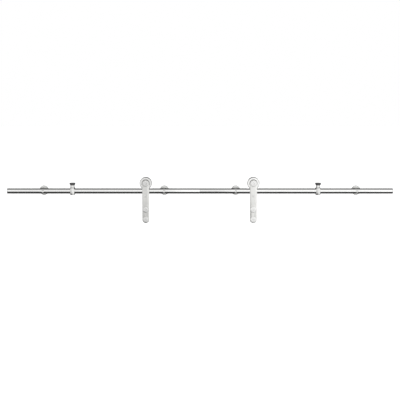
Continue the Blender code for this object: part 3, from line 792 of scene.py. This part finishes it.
    def copy(self, piece: Piece, name: str) -> Piece:
        """A copy of a finished piece under a new name, with its own mesh."""
        twin = piece.copy()
        twin.data = piece.data.copy()
        twin.name = twin.data.name = name
        bpy.context.scene.collection.objects.link(twin)
        return twin

    def settle(self) -> None:
        """Keeps the picked piece's place, turn and size in its mesh."""
        bpy.ops.object.transform_apply(location=True, rotation=True, scale=True)

    def shade(self, piece: Piece) -> None:
        """Shades a piece smooth but for its sharp edges."""
        self.pick(piece)
        bpy.ops.object.shade_smooth_by_angle(angle=math.radians(SMOOTH_ANGLE))

    def lay(self, piece: Piece, axis: Axis, at: Vector) -> None:
        """Lays a piece in its place, keeps the place in its mesh, and shades it.

        Args:
            piece: The piece, modelled along its own Z.
            axis: Where its Z goes.
            at: Where its origin goes.
        """
        piece.rotation_euler = axis.value
        piece.location = at
        self.pick(piece)
        self.settle()
        self.shade(piece)


class Kit:
    """What every sub-assembly shares: the bench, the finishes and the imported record."""

    def __init__(self) -> None:
        """Reads the record and sets up the bench."""
        self.bench = Bench()
        self.effects = SurfaceEffects()
        record = frame["record"]
        self.slots = {row["node"]: row["material_slot"] for row in record["subparts"]}
        bodies = record["behaviour"]["bodies"]
        self.bodies = {node: body for body, nodes in bodies.items() for node in nodes}
        rail = Place.of("rail_left")
        self.rail_radius = rail.size.z / 2
        self.rail_centre = Vector((0.0, rail.centre.y, rail.centre.z))

    def on_rail(self, x: float) -> Vector:
        """The point of the rail's axis at one place along it."""
        return Vector((x, self.rail_centre.y, self.rail_centre.z))

    def reach(self, node: str) -> Point:
        """A node's wall end and room end, as heights from the rail's axis towards the room."""
        place = Place.of(node)
        return self.rail_centre.y - place.high.y, self.rail_centre.y - place.low.y

    def rise(self, node: str) -> Point:
        """A node's lower and upper end, as heights above the rail's axis."""
        place = Place.of(node)
        return place.low.z - self.rail_centre.z, place.high.z - self.rail_centre.z

    def stand(self, piece: Piece, node: str, axis: Axis, grain: Grain, at: Vector) -> None:
        """Lays a finished piece in its place and fits it.

        Args:
            piece: The piece, modelled along its own Z.
            node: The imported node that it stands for.
            axis: Where its Z goes.
            grain: The way its tool marks run.
            at: Where its origin goes, a point on its axis.
        """
        self.bench.lay(piece, axis, at)
        self.fit(piece, node, grain, at)

    def fit(self, piece: Piece, node: str, grain: Grain, centre: Vector) -> None:
        """Dresses a finished piece and puts it in its node's stead.

        Args:
            piece: The piece, in place.
            node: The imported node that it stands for.
            grain: The way its tool marks run.
            centre: A point on its axis.
        """
        piece.data.materials.clear()
        piece.data.materials.append(self._finish(node).dress(node, self.effects, grain, centre))
        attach(piece, self.bodies[node])
        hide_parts(node)
        LOG.info("%s: %d faces on %s", piece.name, len(piece.data.polygons), self.bodies[node])

    def _finish(self, node: str) -> Finish:
        """The finish of a node's slot, with steel painted lighter or darker by its body, as painted
        light and shade.
        """
        finish = FINISHES[self.slots[node]]
        tone = PAINTED_LIGHT_TONES.get(self.bodies[node], 1.0)
        if isinstance(finish, MouldedFinish) or tone == 1.0:
            return finish
        return replace(finish, tint=tuple(channel * tone for channel in finish.tint))

    def paint(self, node: str, grain: Grain, centre: Vector) -> None:
        """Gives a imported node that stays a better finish, with its grain about a centre."""
        steel = self._finish(node).dress(node, self.effects, grain, centre)
        for holder in frame["nodes"][node].material_slots:
            holder.material = steel
        LOG.info("%s: packed shape kept", node)


@dataclass
class RailRun:
    """The rail: two tubes, the spigot that joins them and the plugs in their ends."""

    kit: Kit
    wall: float = 0.002
    edge: float = 0.0004
    hole_margin: float = 0.014
    hole_head: float = 0.0058
    hole_shank: float = 0.0033
    hole_cone: float = 0.0025
    cap_lip: float = 0.0015
    cap_plug: float = 0.012

    def build(self) -> None:
        """Builds the whole run."""
        for side in SIDES:
            self._tube(f"rail_{side}")
            self._cap(side)
        self.kit.paint("rail_joiner", Grain.TURNED_ON_X, self.kit.rail_centre)

    def _tube(self, node: str) -> None:
        """One tube with its countersunk holes."""
        kit, place = self.kit, Place.of(node)
        radius = place.size.z / 2
        inner = radius - self.wall
        screws = [Place.of(f"{mount}_screw").centre.x for mount in MOUNTS]
        screws = sorted(x for x in screws if place.low.x < x < place.high.x)
        rings = sorted(x + step for x in screws for step in (-self.hole_margin, self.hole_margin))
        stations = [place.low.x, *rings, place.high.x]
        profile = [(radius, x) for x in reversed(stations)] + [(inner, x) for x in stations]
        tube = kit.bench.turn(f"{node}_tube", profile, ring=True, steps=96, edge=self.edge)
        kit.bench.lay(tube, Axis.ALONG_RAIL, kit.rail_centre)
        over = radius + 2 * OVER
        crest = radius - self.edge
        head, shank = self.hole_head, self.hole_shank
        hole = [(0.0, over), (head, over), (head, crest), (shank, crest - self.hole_cone),
                (shank, -over), (0.0, -over)]
        for x in screws:
            kit.bench.cut(tube, hole, 64, Axis.TO_ROOM, kit.on_rail(x))
        kit.bench.shade(tube)
        kit.fit(tube, node, Grain.LENGTHWAYS, kit.rail_centre)

    def _cap(self, side: str) -> None:
        """The plug in one end of the rail."""
        kit, node = self.kit, f"end_cap_{side}"
        place = Place.of(node)
        outer = abs(place.low.x) if side == "left" else place.high.x
        seat = outer - self.cap_lip
        tip = seat - self.cap_plug
        radius = kit.rail_radius
        plug = radius - self.wall - CLEARANCE
        profile = [
            (0.0, outer), (radius - 0.0016, outer - 0.0001), (radius - 0.0006, outer - 0.0004),
            (radius, outer - 0.0010), (radius, seat), (plug, seat), (plug, tip + 0.001),
            (plug - 0.0005, tip), (plug - 0.0015, tip), (plug - 0.0015, seat), (0.0, seat),
        ]
        cap = kit.bench.turn(f"{node}_plug", profile, steps=96)
        axis = Axis.ALONG_RAIL if side == "right" else Axis.AGAINST_RAIL
        kit.stand(cap, node, axis, Grain.TURNED_ON_X, kit.rail_centre)


@dataclass
class WallMounts:
    """The four wall mounts: each a rosette, a saddled spacer and the screw through them."""

    kit: Kit
    bore: float = 0.0033
    nose_radius: float = 0.007
    spacer_radius: float = 0.011
    screw_radius: float = 0.003
    head_radius: float = 0.0055
    thread_depth: float = 0.0007
    thread_pitch: float = 0.0026
    thread_start: float = 0.007
    thread_length: float = 0.036

    def build(self) -> None:
        """Models one of each piece and copies it to every mount."""
        models = {"rosette": self._rosette(), "spacer": self._spacer(), "screw": self._screw()}
        for mount in MOUNTS:
            at = self.kit.on_rail(Place.of(f"{mount}_rosette").centre.x)
            for part, model in models.items():
                node = f"{mount}_{part}"
                piece = self.kit.bench.copy(model, f"{node}_turned")
                self.kit.stand(piece, node, Axis.TO_ROOM, Grain.TURNED_ON_Y, at)
        for model in models.values():
            bpy.data.objects.remove(model, do_unlink=True)

    def _rosette(self) -> Piece:
        """The disc that covers the hole in the wall."""
        back, front = self.kit.reach("mount_1_rosette")
        radius = Place.of("mount_1_rosette").size.z / 2
        corner, edge, step = 0.0022, 0.0003, 0.0004
        profile = [
            (self.spacer_radius + 0.0012, front),
            *arc((radius - corner, front - corner), corner, 90, 0, 6),
            (radius, back + edge), (radius - edge, back), (self.bore, back),
            (self.bore, front - step), (self.spacer_radius + 0.0006, front - step),
        ]
        return self.kit.bench.turn("rosette_model", profile, ring=True, steps=96)

    def _spacer(self) -> Piece:
        """The spacer that holds the rail off the wall, saddled to fit it."""
        back = self.kit.reach("mount_1_spacer")[0]
        groove = self.kit.rail_radius + CLEARANCE
        tip = math.sqrt(groove**2 - self.nose_radius**2)
        shoulder = -(tip + 0.0023)
        cove, edge = 0.0016, 0.0006
        nose, body = self.nose_radius, self.spacer_radius
        profile = [
            (nose, -tip / 2), (nose, shoulder + cove * 0.4), (nose + cove * 0.3, shoulder),
            (body - edge, shoulder), (body, shoulder - edge), (body, back + 2 * edge),
            (body - 0.0004, back), (self.bore, back), (self.bore, -tip / 2),
        ]
        spacer = self.kit.bench.turn("spacer_model", profile, ring=True, steps=72)
        reach = body + 2 * OVER
        # the model stands with its own +Z to the room, so the rail lies along its X
        self.kit.bench.cut(spacer, rod(groove, reach, -reach), 96, Axis.ALONG_RAIL)
        return spacer

    def _screw(self) -> Piece:
        """The countersunk screw through rail, spacer and rosette into the wall."""
        tail, face = self.kit.reach("mount_1_screw")
        head, shank, edge = self.head_radius, self.screw_radius, 0.0002
        root = shank - self.thread_depth
        start = tail + self.thread_start
        end = start + self.thread_length
        profile = [
            (0.0, face), (head - edge, face), (head, face - edge), (shank, face - (head - shank)),
            (shank, end + 0.001), (root, end), (root, start), (root * 0.45, tail + 0.002),
            (0.0, tail),
        ]
        screw = self.kit.bench.turn("screw_model", profile, steps=48)
        self.kit.bench.cut_thread(
            screw, shank, self.thread_pitch, start, end - 0.002, self.thread_depth
        )
        self.kit.bench.socket(screw, 0.004, face, 0.002)
        return screw


@dataclass(frozen=True)
class CapBolt:
    """The sizes of a bolt with a low round head."""

    shank: float
    flats: float
    socket: float
    pitch: float
    threaded: float


AXLE_BOLT = CapBolt(shank=0.005, flats=0.008, socket=0.003, pitch=0.0015, threaded=0.007)
ROLLER_SCREW = CapBolt(shank=0.0025, flats=0.003, socket=0.0014, pitch=0.0008, threaded=0.010)
DOOR_BOLT = CapBolt(shank=0.004, flats=0.005, socket=0.0025, pitch=0.00125, threaded=0.022)


@dataclass
class Hangers:
    """The two hangers: each a strap, a grooved wheel on its bearing, and the fixings."""

    kit: Kit
    strap_edge: float = 0.0009
    ball_pitch: float = 0.009

    def build(self) -> None:
        """Models each piece once and copies it to both hangers."""
        models = {
            "wheel": self._wheel(),
            "bearing_outer_ring": self._bearing_ring("bearing_outer_ring", True),
            "bearing_inner_ring": self._bearing_ring("bearing_inner_ring", False),
            "ball_cage": self._ball_cage(),
            "circlip": self._circlip(),
            "axle_bolt": self._cap_bolt("axle_bolt", AXLE_BOLT),
            "axle_spacer": self._sleeve("axle_spacer", AXLE_BOLT.shank + CLEARANCE),
            "axle_nut": self._hex_nut("axle_nut", 0.016, AXLE_BOLT.shank),
            "anti_jump_roller": self._roller(),
            "anti_jump_nut": self._hex_nut("anti_jump_nut", 0.008, ROLLER_SCREW.shank),
            "anti_jump_screw": self._cap_bolt("anti_jump_screw", ROLLER_SCREW),
            "upper_door_bolt": self._cap_bolt("upper_door_bolt", DOOR_BOLT),
            "upper_door_nut": self._door_nut(),
        }
        shared = {"lower_door_bolt": "upper_door_bolt", "lower_door_nut": "upper_door_nut"}
        for side in SIDES:
            self._strap(side)
            for part in [*models, *shared]:
                node = f"{side}_{part}"
                centre = self._axis_of(side, part)
                piece = self.kit.bench.copy(models[shared.get(part, part)], f"{node}_made")
                self.kit.stand(piece, node, Axis.TO_ROOM, Grain.TURNED_ON_Y, centre)
        for model in models.values():
            bpy.data.objects.remove(model, do_unlink=True)

    def _axis_of(self, side: str, part: str) -> Vector:
        """The point where a piece's axis meets the rail's middle plane.

        Args:
            side: Which hanger.
            part: The piece's name on either hanger.

        Returns:
            The point.
        """
        on_axle = part.startswith(("wheel", "bearing", "ball_cage", "circlip", "axle"))
        wheel = Place.of(f"{side}_wheel").centre
        height = wheel.z if on_axle else Place.of(f"{side}_{part}").centre.z
        return Vector((wheel.x, self.kit.rail_centre.y, height))

    def _measure(self, part: str) -> Triple:
        """A piece's wall end and room end, towards the room, and half its greatest width."""
        size = Place.of(f"left_{part}").size
        return *self.kit.reach(f"left_{part}"), max(size.x, size.z) / 2

    def _strap(self, side: str) -> None:
        """The strap of one hanger, with round ends, its holes and its broken edges."""
        bench, node = self.kit.bench, f"{side}_strap"
        place = Place.of(node)
        radius, x = place.size.x / 2, place.centre.x
        top = Vector((x, place.low.y, place.high.z - radius))
        bottom = Vector((x, place.low.y, place.low.z + radius))
        half, depth = Vector((radius, 0.0, 0.0)), Vector((0.0, place.size.y, 0.0))
        strap = bench.plate(f"{node}_plate", top, bottom, half, depth, 48, self.strap_edge)
        holes = (("wheel", AXLE_BOLT), ("anti_jump_roller", ROLLER_SCREW),
                 ("upper_door_bolt", DOOR_BOLT), ("lower_door_bolt", DOOR_BOLT))
        for part, bolt in holes:
            at = Vector((x, place.high.y, Place.of(f"{side}_{part}").centre.z))
            hole = rod(bolt.shank + CLEARANCE, place.size.y + 2 * OVER, -2 * OVER)
            bench.cut(strap, hole, 48, Axis.TO_ROOM, at)
        bench.shade(strap)
        self.kit.fit(strap, node, Grain.UPRIGHT, place.centre)

    def _wheel(self) -> Piece:
        """The grooved wheel, dished on its face, bored for its bearing."""
        back, front, radius = self._measure("wheel")
        groove = self.kit.rail_radius + CLEARANCE
        axle_height = Place.of("left_wheel").centre.z - self.kit.rail_centre.z
        half = math.degrees(math.acos((axle_height - (radius - 0.0005)) / groove))
        flank = groove * math.sin(math.radians(half))
        seat, shoulder, lead = 0.0133, 0.010, 0.0006
        ring_front = 0.0043
        clip_front, clip_back, clip_groove = -0.004, -0.0058, 0.0144
        bevel, slope, corner, lip = 0.0013, 0.0023, 0.0003, 0.0005
        recess_in, recess_out, sunk = 0.0150, 0.0184, 0.0016
        dish, dish_in, dish_out = 0.0004, 0.0196, 0.0262

        def flange(face: float, inwards: float) -> list[Point]:
            """The bevelled rim beside the groove, from its face or its wall side inwards."""
            return [
                (radius - bevel - corner, face), (radius - bevel, face + inwards * corner / 2),
                (radius - corner / 2, face + inwards * slope),
                (radius, face + inwards * (slope + corner)),
                (radius, -inwards * (flank + 2 * corner)),
                (radius - 0.0001, -inwards * (flank + corner)),
            ]

        profile = [
            (shoulder + lip, front), (recess_in, front), (recess_in, front - sunk),
            (recess_out, front - sunk), (recess_out, front - corner), (recess_out + corner, front),
            (dish_in - dish, front), (dish_in, front - dish), (dish_out - dish, front - dish),
            (dish_out, front),
            *flange(front, -1.0),
            *arc((axle_height, 0.0), groove, 180 - half, 180 + half, 28),
            *reversed(flange(back, 1.0)),
            (seat + lead, back), (seat, back + lead), (seat, clip_back), (clip_groove, clip_back),
            (clip_groove, clip_front), (seat, clip_front), (seat, ring_front),
            (shoulder, ring_front), (shoulder, front - lip),
        ]
        return self.kit.bench.turn("wheel_model", profile, ring=True, steps=120)

    def _bearing_ring(self, part: str, outer: bool) -> Piece:
        """One ring of the bearing with its ball track.

        Args:
            part: The piece's name.
            outer: Whether it is the outer ring.

        Returns:
            The model.
        """
        back, front, _ = self._measure(part)
        wall, land = (0.013, 0.0108) if outer else (0.0053, 0.0072)
        track = 0.00255
        edge = -0.0004 if outer else 0.0004
        middle = 0 if outer else 180
        reach = math.degrees(math.acos(abs(land - self.ball_pitch) / track))
        ball_track = arc((self.ball_pitch, 0.0), track, middle - reach, middle + reach, 12)
        rim = [(wall + edge, front), (wall, front - abs(edge)), (wall, back + abs(edge)),
               (wall + edge, back)]
        if outer:
            profile = [*rim, (land, back), *ball_track, (land, front)]
        else:
            profile = [(land, front), *ball_track, (land, back), *reversed(rim)]
        return self.kit.bench.turn(f"{part}_model", profile, ring=True, steps=72)

    def _ball_cage(self) -> Piece:
        """The seven balls and the pressed cage between them."""
        bench, pitch = self.kit.bench, self.ball_pitch
        balls, ball, thickness, width = 7, 0.0022, 0.0006, 0.0013
        outer, inner = pitch + thickness, pitch - thickness
        profile = [(outer, width), (outer, -width), (inner, -width), (inner, width)]
        cage = bench.turn("ball_cage_model", profile, ring=True, steps=84, edge=0.00015)
        for index in range(balls):
            angle = FULL_TURN * index / balls
            bench.clear()
            centre = (pitch * math.cos(angle), pitch * math.sin(angle), 0.0)
            bpy.ops.mesh.primitive_uv_sphere_add(
                segments=24, ring_count=14, radius=ball, location=centre
            )
            sphere = bpy.context.active_object
            bench.settle()
            bench.combine(cage, sphere, "UNION")
        return cage

    def _circlip(self) -> Piece:
        """The ring that keeps the bearing in the wheel, with its two eyes."""
        bench = self.kit.bench
        back, front, _ = self._measure("circlip")
        rim, width, inset = 0.0141, 0.0022, 0.0023
        eye_radius, hole = 0.0021, 0.0009
        opening, eye_turn = math.radians(24), math.radians(6)
        corners = ((rim, front), (rim, back), (rim - width, back), (rim - width, front))
        section = [Vector((radius, 0.0, height)) for radius, height in corners]
        clip = bench.start("circlip_model", section[0])
        bench.draw(*section)
        bench.close(clip)
        bpy.ops.mesh.select_all(action="SELECT")
        bench.spin(64, FULL_TURN - 2 * opening)
        bench.cap_ends()
        bpy.ops.mesh.select_all(action="SELECT")
        turn = math.pi / 2 - opening
        bpy.ops.transform.rotate(value=turn, orient_axis="Z", center_override=ORIGIN)
        bench.tidy_mesh()
        for side in (-1, 1):
            angle = -math.pi / 2 + side * (opening + eye_turn)
            at = Vector((math.cos(angle), math.sin(angle), 0.0)) * (rim - inset)
            bench.cut(clip, rod(eye_radius, front, back), 32, Axis.UP, at, "UNION")
            bench.cut(clip, rod(hole, front + OVER, back - OVER), 24, Axis.UP, at)
        return clip

    def _cap_bolt(self, part: str, bolt: CapBolt) -> Piece:
        """A bolt with a low round head, a hexagon socket and a threaded end.

        Args:
            part: The piece's name.
            bolt: Its sizes.

        Returns:
            The model.
        """
        tail, face, head = self._measure(part)
        shank, pitch, depth = bolt.shank, bolt.pitch, bolt.pitch * 0.5
        under = self.kit.reach("left_strap")[1] + CLEARANCE
        root = shank - depth
        corner = min(0.0008, (face - under) * 0.35)
        thread_end = tail + bolt.threaded
        profile = [
            (0.0, face), *arc((head - corner, face - corner), corner, 90, 0, 5),
            (head, under + 0.0004), (head - 0.0004, under), (shank, under),
            (shank, thread_end + depth), (root, thread_end), (root, tail + depth),
            (root - depth, tail), (0.0, tail),
        ]
        piece = self.kit.bench.turn(f"{part}_model", profile, steps=80)
        start, end = tail + depth + pitch * 0.45, thread_end - pitch * 0.4
        self.kit.bench.cut_thread(piece, shank, pitch, start, end, depth)
        self.kit.bench.socket(piece, bolt.flats, face, bolt.socket)
        return piece

    def _sleeve(self, part: str, bore: float) -> Piece:
        """A plain turned sleeve with a bore of one radius."""
        back, front, radius = self._measure(part)
        profile = [(radius, front), (radius, back), (bore, back), (bore, front)]
        return self.kit.bench.turn(f"{part}_model", profile, ring=True, steps=64, edge=0.0003)

    def _hex_nut(self, part: str, flats: float, shank: float) -> Piece:
        """A hexagon nut for a shank of one radius, in its place along its axis."""
        back, front, _ = self._measure(part)
        return self.kit.bench.nut(f"{part}_model", flats, back, front, shank + CLEARANCE)

    def _roller(self) -> Piece:
        """The nylon roller under the rail."""
        back, front, radius = self._measure("anti_jump_roller")
        corner, lead, bore = 0.0010, 0.0003, ROLLER_SCREW.shank + CLEARANCE
        profile = [
            (bore + lead, front),
            *arc((radius - corner, front - corner), corner, 90, 0, 5),
            *arc((radius - corner, back + corner), corner, 0, -90, 5),
            (bore + lead, back), (bore, back + lead), (bore, front - lead),
        ]
        return self.kit.bench.turn("roller_model", profile, ring=True, steps=72)

    def _door_nut(self) -> Piece:
        """The flanged sleeve nut behind the door."""
        back, mouth, flange = self._measure("upper_door_nut")
        barrel, bore, lead, corner = 0.0058, 0.0043, 0.0004, 0.0009
        seat = back + 0.0027
        profile = [
            (0.0, seat), (bore, seat), (bore, mouth - lead), (bore + lead, mouth),
            (barrel - lead, mouth), (barrel, mouth - lead), (barrel, seat),
            (flange - 0.0002, seat), (flange, seat - 0.0002),
            *arc((flange - corner, back + corner), corner, 0, -90, 5), (0.0, back),
        ]
        nut = self.kit.bench.turn("door_nut_model", profile, steps=72)
        slot_width, slot_depth = 0.0012, 0.001
        self.kit.bench.clear()
        bpy.ops.mesh.primitive_cube_add(size=1.0, location=(0.0, 0.0, back))
        blade = bpy.context.active_object
        blade.scale = (2 * (flange + OVER), slot_width, 2 * slot_depth)
        self.kit.bench.settle()
        self.kit.bench.combine(nut, blade, "DIFFERENCE")
        return nut


@dataclass
class EndStops:
    """The two end stops: each an upright round-ended block with a rubber bumper on its neck."""

    kit: Kit
    block_edge: float = 0.0008
    neck_radius: float = 0.0095
    flare_radius: float = 0.0108
    flare_height: float = 0.0016
    neck_root: float = 0.0015
    neck_height: float = 0.0125

    def build(self) -> None:
        """Builds both stops."""
        makers = {"stop_collar": self._collar, "stop_bumper": self._bumper,
                  "bumper_screw": self._bumper_screw, "stop_set_screw": self._set_screw}
        for side in SIDES:
            at = self.kit.on_rail(Place.of(f"{side}_stop_collar").centre.x)
            for part, make in makers.items():
                node = f"{side}_{part}"
                axis = Axis.DOWN if part == "stop_set_screw" else Axis.UP
                self.kit.stand(make(node), node, axis, Grain.TURNED_ON_Z, at)

    def _collar(self, node: str) -> Piece:
        """The block on the rail with the neck that carries the bumper."""
        bench, place = self.kit.bench, Place.of(node)
        half = place.size.x / 2
        end = place.size.y / 2 - half
        bore = self.kit.rail_radius + CLEARANCE
        bottom, neck_top = self.kit.rise(node)
        top = neck_top - self.neck_height
        near, far = Vector((0.0, -end, bottom)), Vector((0.0, end, bottom))
        side, height = Vector((half, 0.0, 0.0)), Vector((0.0, 0.0, top - bottom))
        collar = bench.plate(f"{node}_block", near, far, side, height, 40, self.block_edge)
        reach = half + OVER
        bench.cut(collar, rod(bore, reach, -reach), 96, Axis.ALONG_RAIL)
        radius, flare, lead = self.neck_radius, self.flare_radius, 0.0004
        neck = [
            (0.0, neck_top), (radius - lead, neck_top), (radius, neck_top - lead),
            (radius, top + self.flare_height + 0.0006), (radius + 0.0003, top + self.flare_height),
            (flare, top + lead), (flare, top - self.neck_root), (0.0, top - self.neck_root),
        ]
        bench.cut(collar, neck, 72, operation="UNION")
        bench.cut(collar, rod(0.0033, neck_top + 2 * OVER, neck_top - 0.010), 36)
        bench.cut(collar, rod(0.0028, -bore + 2 * OVER, bottom - 2 * OVER), 36)
        return collar

    def _bumper(self, node: str) -> Piece:
        """The rubber bumper, tapered down to the neck."""
        bottom, top = self.kit.rise(node)
        radius, foot = Place.of(node).size.x / 2, self.flare_radius
        corner, belly, lead = 0.0018, 0.0020, 0.0005
        floor, counterbore, bore = bottom + 0.005, 0.0053, 0.0033
        profile = [
            (counterbore + lead, top), *arc((radius - corner, top - corner), corner, 90, 0, 6),
            (radius, bottom + 0.0062),
            *arc((radius - belly, bottom + 0.0056), belly, 0, -46, 5),
            (foot + 0.0003, bottom + 0.0008), (foot - 0.0004, bottom), (bore, bottom),
            (bore, floor), (counterbore, floor), (counterbore, top - lead),
        ]
        return self.kit.bench.turn(f"{node}_moulded", profile, ring=True, steps=96)

    def _bumper_screw(self, node: str) -> Piece:
        """The screw that holds the bumper on."""
        tail, face = self.kit.rise(node)
        head, shank, under = Place.of(node).size.x / 2, 0.003, face - 0.0035
        corner, lead = 0.0008, 0.0005
        profile = [
            (0.0, face), *arc((head - corner, face - corner), corner, 90, 0, 4), (head, under),
            (shank, under), (shank, tail + lead), (shank - lead, tail), (0.0, tail),
        ]
        screw = self.kit.bench.turn(f"{node}_turned", profile, steps=64)
        self.kit.bench.socket(screw, 0.004, face, 0.002)
        return screw

    def _set_screw(self, node: str) -> Piece:
        """The headless screw that clamps the block, from below."""
        low, high = self.kit.rise(node)
        tip, face = -high, -low
        radius, edge = Place.of(node).size.x / 2, 0.0004
        profile = [(0.0, face), (radius - edge, face), (radius, face - edge), (radius, tip + edge),
                   (radius - edge, tip), (0.0, tip)]
        screw = self.kit.bench.turn(f"{node}_turned", profile, steps=40)
        self.kit.bench.socket(screw, 0.0025, face, 0.002)
        return screw


@dataclass(frozen=True)
class Studio:
    elevation: float = 7.0
    distance: float = 5.0
    width_seen: float = 1.901
    drop: float = 0.0427
    floor_drop: float = 1.3
    floor_size: float = 60.0
    sensor: float = 36.0
    white: float = 1.62
    upper: float = 0.64
    lower: float = 0.085
    dark: float = 0.04
    rear: float = 0.85
    band_low: float = -0.30
    band_low_tilt: float = 0.07
    band_high: float = 0.58
    band_blur: float = 0.03
    rear_edge: float = 0.12
    rear_blur: float = 0.1

    def build(self, rail_centre: Vector) -> None:
        """Sets up the whole studio round the middle of the rail."""
        scene = bpy.context.scene
        scene.view_settings.view_transform = "Standard"
        scene.view_settings.look = "None"
        self._camera(rail_centre)
        self._floor(rail_centre)
        self._world()

    def _camera(self, rail_centre: Vector) -> None:
        """A long lens a little above the rail, aimed just below it."""
        lens = bpy.data.cameras.new("camera")
        lens.sensor_width = self.sensor
        lens.lens = self.sensor * self.distance / self.width_seen
        lens.clip_end = 100.0
        camera = bpy.data.objects.new("camera", lens)
        bpy.context.scene.collection.objects.link(camera)
        angle = math.radians(self.elevation)
        aim = rail_centre - Vector((0.0, 0.0, self.drop / math.cos(angle)))
        camera.location = aim + Vector((0.0, -math.cos(angle), math.sin(angle))) * self.distance
        camera.rotation_euler = (math.pi / 2 - angle, 0.0, 0.0)
        bpy.context.scene.camera = camera

    def _floor(self, rail_centre: Vector) -> None:
        Bench().clear()
        below = rail_centre - Vector((0.0, 0.0, self.floor_drop))
        bpy.ops.mesh.primitive_plane_add(size=self.floor_size, location=below)
        floor = bpy.context.active_object
        floor.name = "studio_floor"
        floor.visible_glossy = False
        paint = bpy.data.materials.new("pale_floor")
        paint.use_nodes = True
        looks = {"Base Color": (0.9, 0.9, 0.9, 1.0), "Roughness": 0.9,
                 "Emission Color": (1.0, 1.0, 1.0, 1.0), "Emission Strength": 0.8}
        for label, value in looks.items():
            paint.node_tree.nodes["Principled BSDF"].inputs[label].default_value = value
        floor.data.materials.append(paint)

    def _world(self) -> None:
        """Light from a broad white band at eye height, softer above, and dark below and behind."""
        world = bpy.data.worlds.new("studio")
        world.use_nodes = True
        bpy.context.scene.world = world
        sheet = NodeSheet(world.node_tree)
        world.node_tree.nodes.clear()
        across, depth, rise = sheet.add(
            "SeparateXYZ", {0: sheet.add("TexCoord").outputs["Generated"]}
        ).outputs

        def step(value: Socket, at: float, blur: float, low: float, high: float) -> Socket:
            """Goes softly from one strength to another where a value passes a level."""
            return sheet.spread(value, (at - blur, at + blur), (low, high), smooth=True)

        tilt = sheet.spread(across, (-0.2, 0.2), (-self.band_low_tilt, self.band_low_tilt))
        above = step(rise, self.band_high, self.band_blur, self.white, self.upper)
        tilted = sheet.calc("ADD", rise, tilt)
        below = step(tilted, self.band_low, self.band_blur, self.lower, self.white)
        sideways = step(across, 0.0, 0.2, 0.90, 1.12)
        front = sheet.calc("MULTIPLY", sheet.calc("MINIMUM", above, below), sideways)
        rear_low = step(rise, -0.18, 0.04, self.rear, self.dark)
        rear_floor = step(rise, -0.42, 0.04, self.lower, 1.0)
        rear = sheet.calc("MULTIPLY", rear_low, rear_floor)
        behind = step(depth, self.rear_edge, self.rear_blur, 0.0, 1.0)
        before = sheet.calc("SUBTRACT", 1.0, behind)
        light = sheet.calc(
            "ADD", sheet.calc("MULTIPLY", rear, behind), sheet.calc("MULTIPLY", front, before)
        )
        lit = sheet.add("Background", {"Strength": light})
        plain = sheet.add("Background", {"Color": (1.0, 1.0, 1.0, 1.0), "Strength": 1.0})
        seen = sheet.add("LightPath").outputs["Is Camera Ray"]
        either = sheet.add("MixShader", {0: seen, 1: lit.outputs[0], 2: plain.outputs[0]})
        sheet.add("OutputWorld", {"Surface": either.outputs[0]})


def main() -> None:
    """Builds the studio, then every sub-assembly in order."""
    logging.basicConfig(level=logging.INFO, format="%(name)s: %(message)s")
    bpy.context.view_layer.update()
    kit = Kit()
    Studio().build(kit.rail_centre)
    for assembly in (RailRun(kit), WallMounts(kit), Hangers(kit), EndStops(kit)):
        LOG.info("building %s", type(assembly).__name__)
        assembly.build()


if __name__ == "__main__":
    main()
